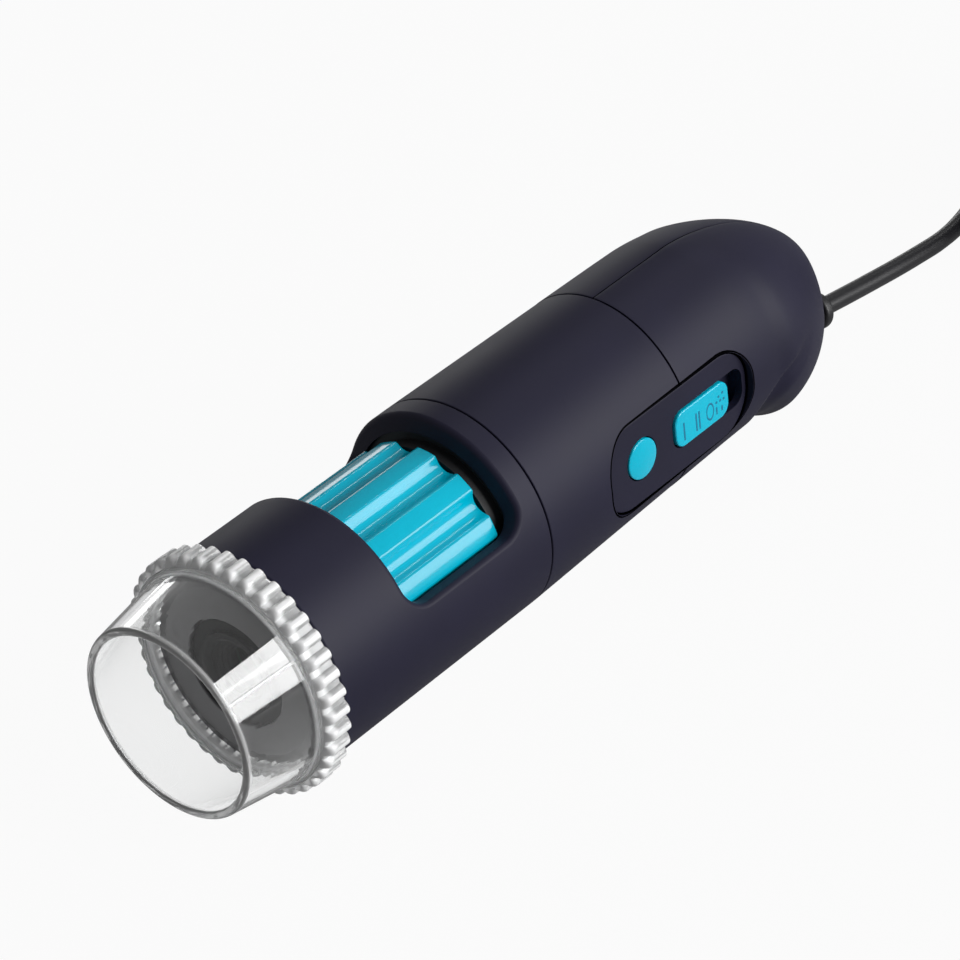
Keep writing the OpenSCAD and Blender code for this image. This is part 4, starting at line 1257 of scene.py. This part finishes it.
class SCOPE_OT_tail(bpy.types.Operator):
    """Models the tail's two halves as lofted shells that meet along the parting line."""
    bl_idname = "scope.tail"
    bl_label = "Tail halves"

    def execute(self, context):
        for name, node, side in (
                ("tail_half_near", "tail_shell_near", 1),
                ("tail_half_far", "tail_shell_far", -1),
        ):
            half = self.half(name, side)
            if side > 0:
                cut(half, plate_cutter(), *openings())
                backed(half, TAIL_X + 0.1, PLATE_X + PLATE_LEN / 2 + 2)
            cut(half, self.exit_hole())
            soften(half, 0.14, 2)
            dress(half, finishes()["body"], "housing", "charcoal", node)
        return {"FINISHED"}

    def half(self, name, side):
        """One closed shell: outer skin, parting edges, inner skin, front rim and end wall."""
        arc, front, back = 72, 88, 22
        stations = [TAIL_X + (HOLLOW_END - TAIL_X) * k / front for k in range(front + 1)]
        stations += [HOLLOW_END + (TAIL_END - HOLLOW_END) * math.sin(math.pi / 2 * k / back)
                     for k in range(1, back + 1)]
        nudge = Vector((0, -side * SPLIT_GAP * MM, 0))

        def place(i, k):
            outer = i <= arc or i == 2 * arc + 2
            j = i % (2 * arc + 2)
            a = side * math.pi * (j if j <= arc else 2 * arc + 1 - j) / arc
            if k == 0:
                return skin(TAIL_X, a, TAIL_WALL / 2) + nudge
            x = stations[k - 1]
            if outer:
                return skin(x, a) + nudge
            shrink = 1.0 if k - 1 <= front else 1 - (k - 1 - front) / back
            return skin(min(x, HOLLOW_END), a, TAIL_WALL, shrink) + nudge

        return formed(name, 2 * arc + 2, len(stations), place)

    def exit_hole(self):
        """Cutter along the strain relief's neck."""
        deselect()
        bpy.ops.mesh.primitive_cylinder_add(
            vertices=48, radius=(NECK_R + 0.02) * MM, depth=16 * MM,
            location=on_table(*(EXIT + relief_dir() * (RELIEF[0] + 9))),
            rotation=(0, math.pi / 2 + EXIT_TILT, 0))
        return fresh("exit_cutter")


class SCOPE_OT_controls(bpy.types.Operator):
    """Models the button plate, the round button and the slide switch with its marks."""
    bl_idname = "scope.controls"
    bl_label = "Controls"

    def execute(self, context):
        finish = finishes()
        plate = slab("button_plate_flat", PLATE_X, 0, PLATE_LEN, PLATE_H, PLATE_CORNER,
                     PLATE_IN_Y, PLATE_Y, 14)
        soften(plate, 0.2, 3)
        cut(plate, rod("hole", BUTTON_X, 0, BUTTON_R + PLATE_GAP, PLATE_IN_Y - 1, PLATE_Y + 1, 96),
            slab("slot", SLOT_X + SLOT_LEN / 2, 0, SLOT_LEN, SLOT_H, KNOB_CORNER + 0.2,
                 PLATE_IN_Y - 1, PLATE_Y + 1))
        dress(plate, finish["plate"], "housing", "charcoal", "button_plate")
        self.button(finish)
        self.slider(finish)
        return {"FINISHED"}

    def button(self, finish):
        """A turned button: slightly domed top, rounded rim, flange and stem."""
        rim = BUTTON_R - 0.4
        dome = [(BUTTON_TOP - BUTTON_DOME * (t / 8) ** 2, rim * t / 8, 0) for t in range(9)]
        corners = dome + [
            (BUTTON_TOP - BUTTON_RIM, BUTTON_R, 0.22), (FLANGE_TOP, BUTTON_R, 0),
            (FLANGE_TOP, BUTTON_FLANGE_R, 0.1), (FLANGE_LOW, BUTTON_FLANGE_R, 0.1),
            (FLANGE_LOW, BUTTON_STEM_R, 0), (BUTTON_STEM_Y, BUTTON_STEM_R, 0.1), (BUTTON_STEM_Y, 0, 0)]
        piece = turned("round_button", eased(corners), 96, spot(BUTTON_X, 0, 0), TO_BUTTONS)
        dress(piece, finish["accent"], "button", "cyan", "shutter_button")

    def slider(self, finish):
        """The knob with its flange and lever, and the marks on its top, inlaid dark as painted shade of their
        engraving.
        """
        mid = KNOB_X + KNOB_LEN / 2
        knob = slab("slide_knob", mid, 0, KNOB_LEN, KNOB_H, KNOB_CORNER, FLANGE_LOW, KNOB_TOP, 8)
        soften(knob, 0.28, 4)
        flange = slab("flange", mid, 0, KNOB_LEN - 0.4, SLIDER_FLANGE_H, 0.6,
                      FLANGE_LOW + 0.02, FLANGE_TOP, 4)
        lever = slab("lever", mid, 0, LEVER_W, LEVER_W, 0.3, LEVER_Y, FLANGE_LOW + 0.1, 3)
        soften(flange, 0.1, 2)
        knob = join([knob, flange, lever], "slide_knob")
        dress(knob, finish["accent"], "slider", "cyan", "led_slider", angle=50)
        # Painted shade: flush dark teal inlays where the engraved marks would lie in shadow
        marks = [slab("mark", KNOB_X + x, z, MARK_W, height, 0.1, *MARK_Y, 3) for x, z, height in MARK_BARS]
        marks.append(self.oval(KNOB_X + MARK_OVAL_X))
        marks += [rod("mark_dot", KNOB_X + x, z, MARK_DOT_R, *MARK_Y, 16) for x, z in MARK_DOTS]
        dress(join(marks, "switch_mark_shade"), finish["marks"], "slider", "cyan", even=False)

    def oval(self, x):
        """An upright oval outline, as a ring squeezed along the barrel."""
        low, high = MARK_Y
        inner, outer = MARK_OVAL
        outline = eased([(low, inner, 0), (high, inner, 0.01), (high, outer, 0.01), (low, outer, 0)], 2)
        piece = turned("mark_ring", outline, 48, spot(x, 0, MARK_Z), TO_BUTTONS)
        edit(True)
        bpy.ops.transform.resize(value=(MARK_SQUEEZE, 1, 1), center_override=spot(x, 0, MARK_Z))
        edit(False)
        return piece


class SCOPE_OT_inner_parts(bpy.types.Operator):
    """Finishes the inner pieces that keep their CAD shape."""
    bl_idname = "scope.inner_parts"
    bl_label = "Inner parts"

    def execute(self, context):
        finish = finishes()
        groups = {
            "board": ("led_board", "sensor_board", "main_board"),
            "led": ("leds",),
            "inner": ("core_tube", "lens_carriage", "lens_spacer", "lens_ring", "joint_ring", "cable_tail"),
            "lens": ("front_lens", "rear_lens"),
            "steel": ("cam_pins", "sensor_screws", "slide_switch"),
            "chip": ("image_sensor", "image_processor", "tact_switch"),
            "flex": ("sensor_flex",),
            "white": ("cable_header", "plug_tongue"),
            "gold": ("plug_contacts",),
        }
        for name, nodes in groups.items():
            for n in nodes:
                for slot in NODES[n].material_slots:
                    slot.material = finish[name]
        return {"FINISHED"}


class SCOPE_PT_panel(bpy.types.Panel):
    """Lists the sizes, the colours and the steps."""
    bl_idname = "SCOPE_PT_panel"
    bl_label = "USB microscope"
    bl_space_type = "VIEW_3D"
    bl_region_type = "UI"
    bl_category = "Microscope"

    def draw(self, context):
        for name in GROUPS:
            group = getattr(context.scene, name)
            for key in group.__annotations__:
                self.layout.prop(group, key)
        for step in STEPS:
            self.layout.operator(step.bl_idname)


GROUPS = {"scope_finishes": ScopeFinishes, "scope_sizes": ScopeSizes, "scope_stage": ScopeStage}
STEPS = (
    SCOPE_OT_stage, SCOPE_OT_cable, SCOPE_OT_plug, SCOPE_OT_cap, SCOPE_OT_nose, SCOPE_OT_front_sleeve,
    SCOPE_OT_dial, SCOPE_OT_mid_sleeve, SCOPE_OT_tail, SCOPE_OT_controls, SCOPE_OT_inner_parts,
)


def register():
    for cls in (*GROUPS.values(), *STEPS, SCOPE_PT_panel):
        bpy.utils.register_class(cls)
    for key, cls in GROUPS.items():
        setattr(bpy.types.Scene, key, bpy.props.PointerProperty(type=cls))


def unregister():
    for key in GROUPS:
        delattr(bpy.types.Scene, key)
    for cls in (SCOPE_PT_panel, *reversed(STEPS), *reversed(list(GROUPS.values()))):
        bpy.utils.unregister_class(cls)


def main():
    register()
    for step in STEPS:
        group, name = step.bl_idname.split(".")
        getattr(getattr(bpy.ops, group), name)()


if __name__ == "__main__":
    main()
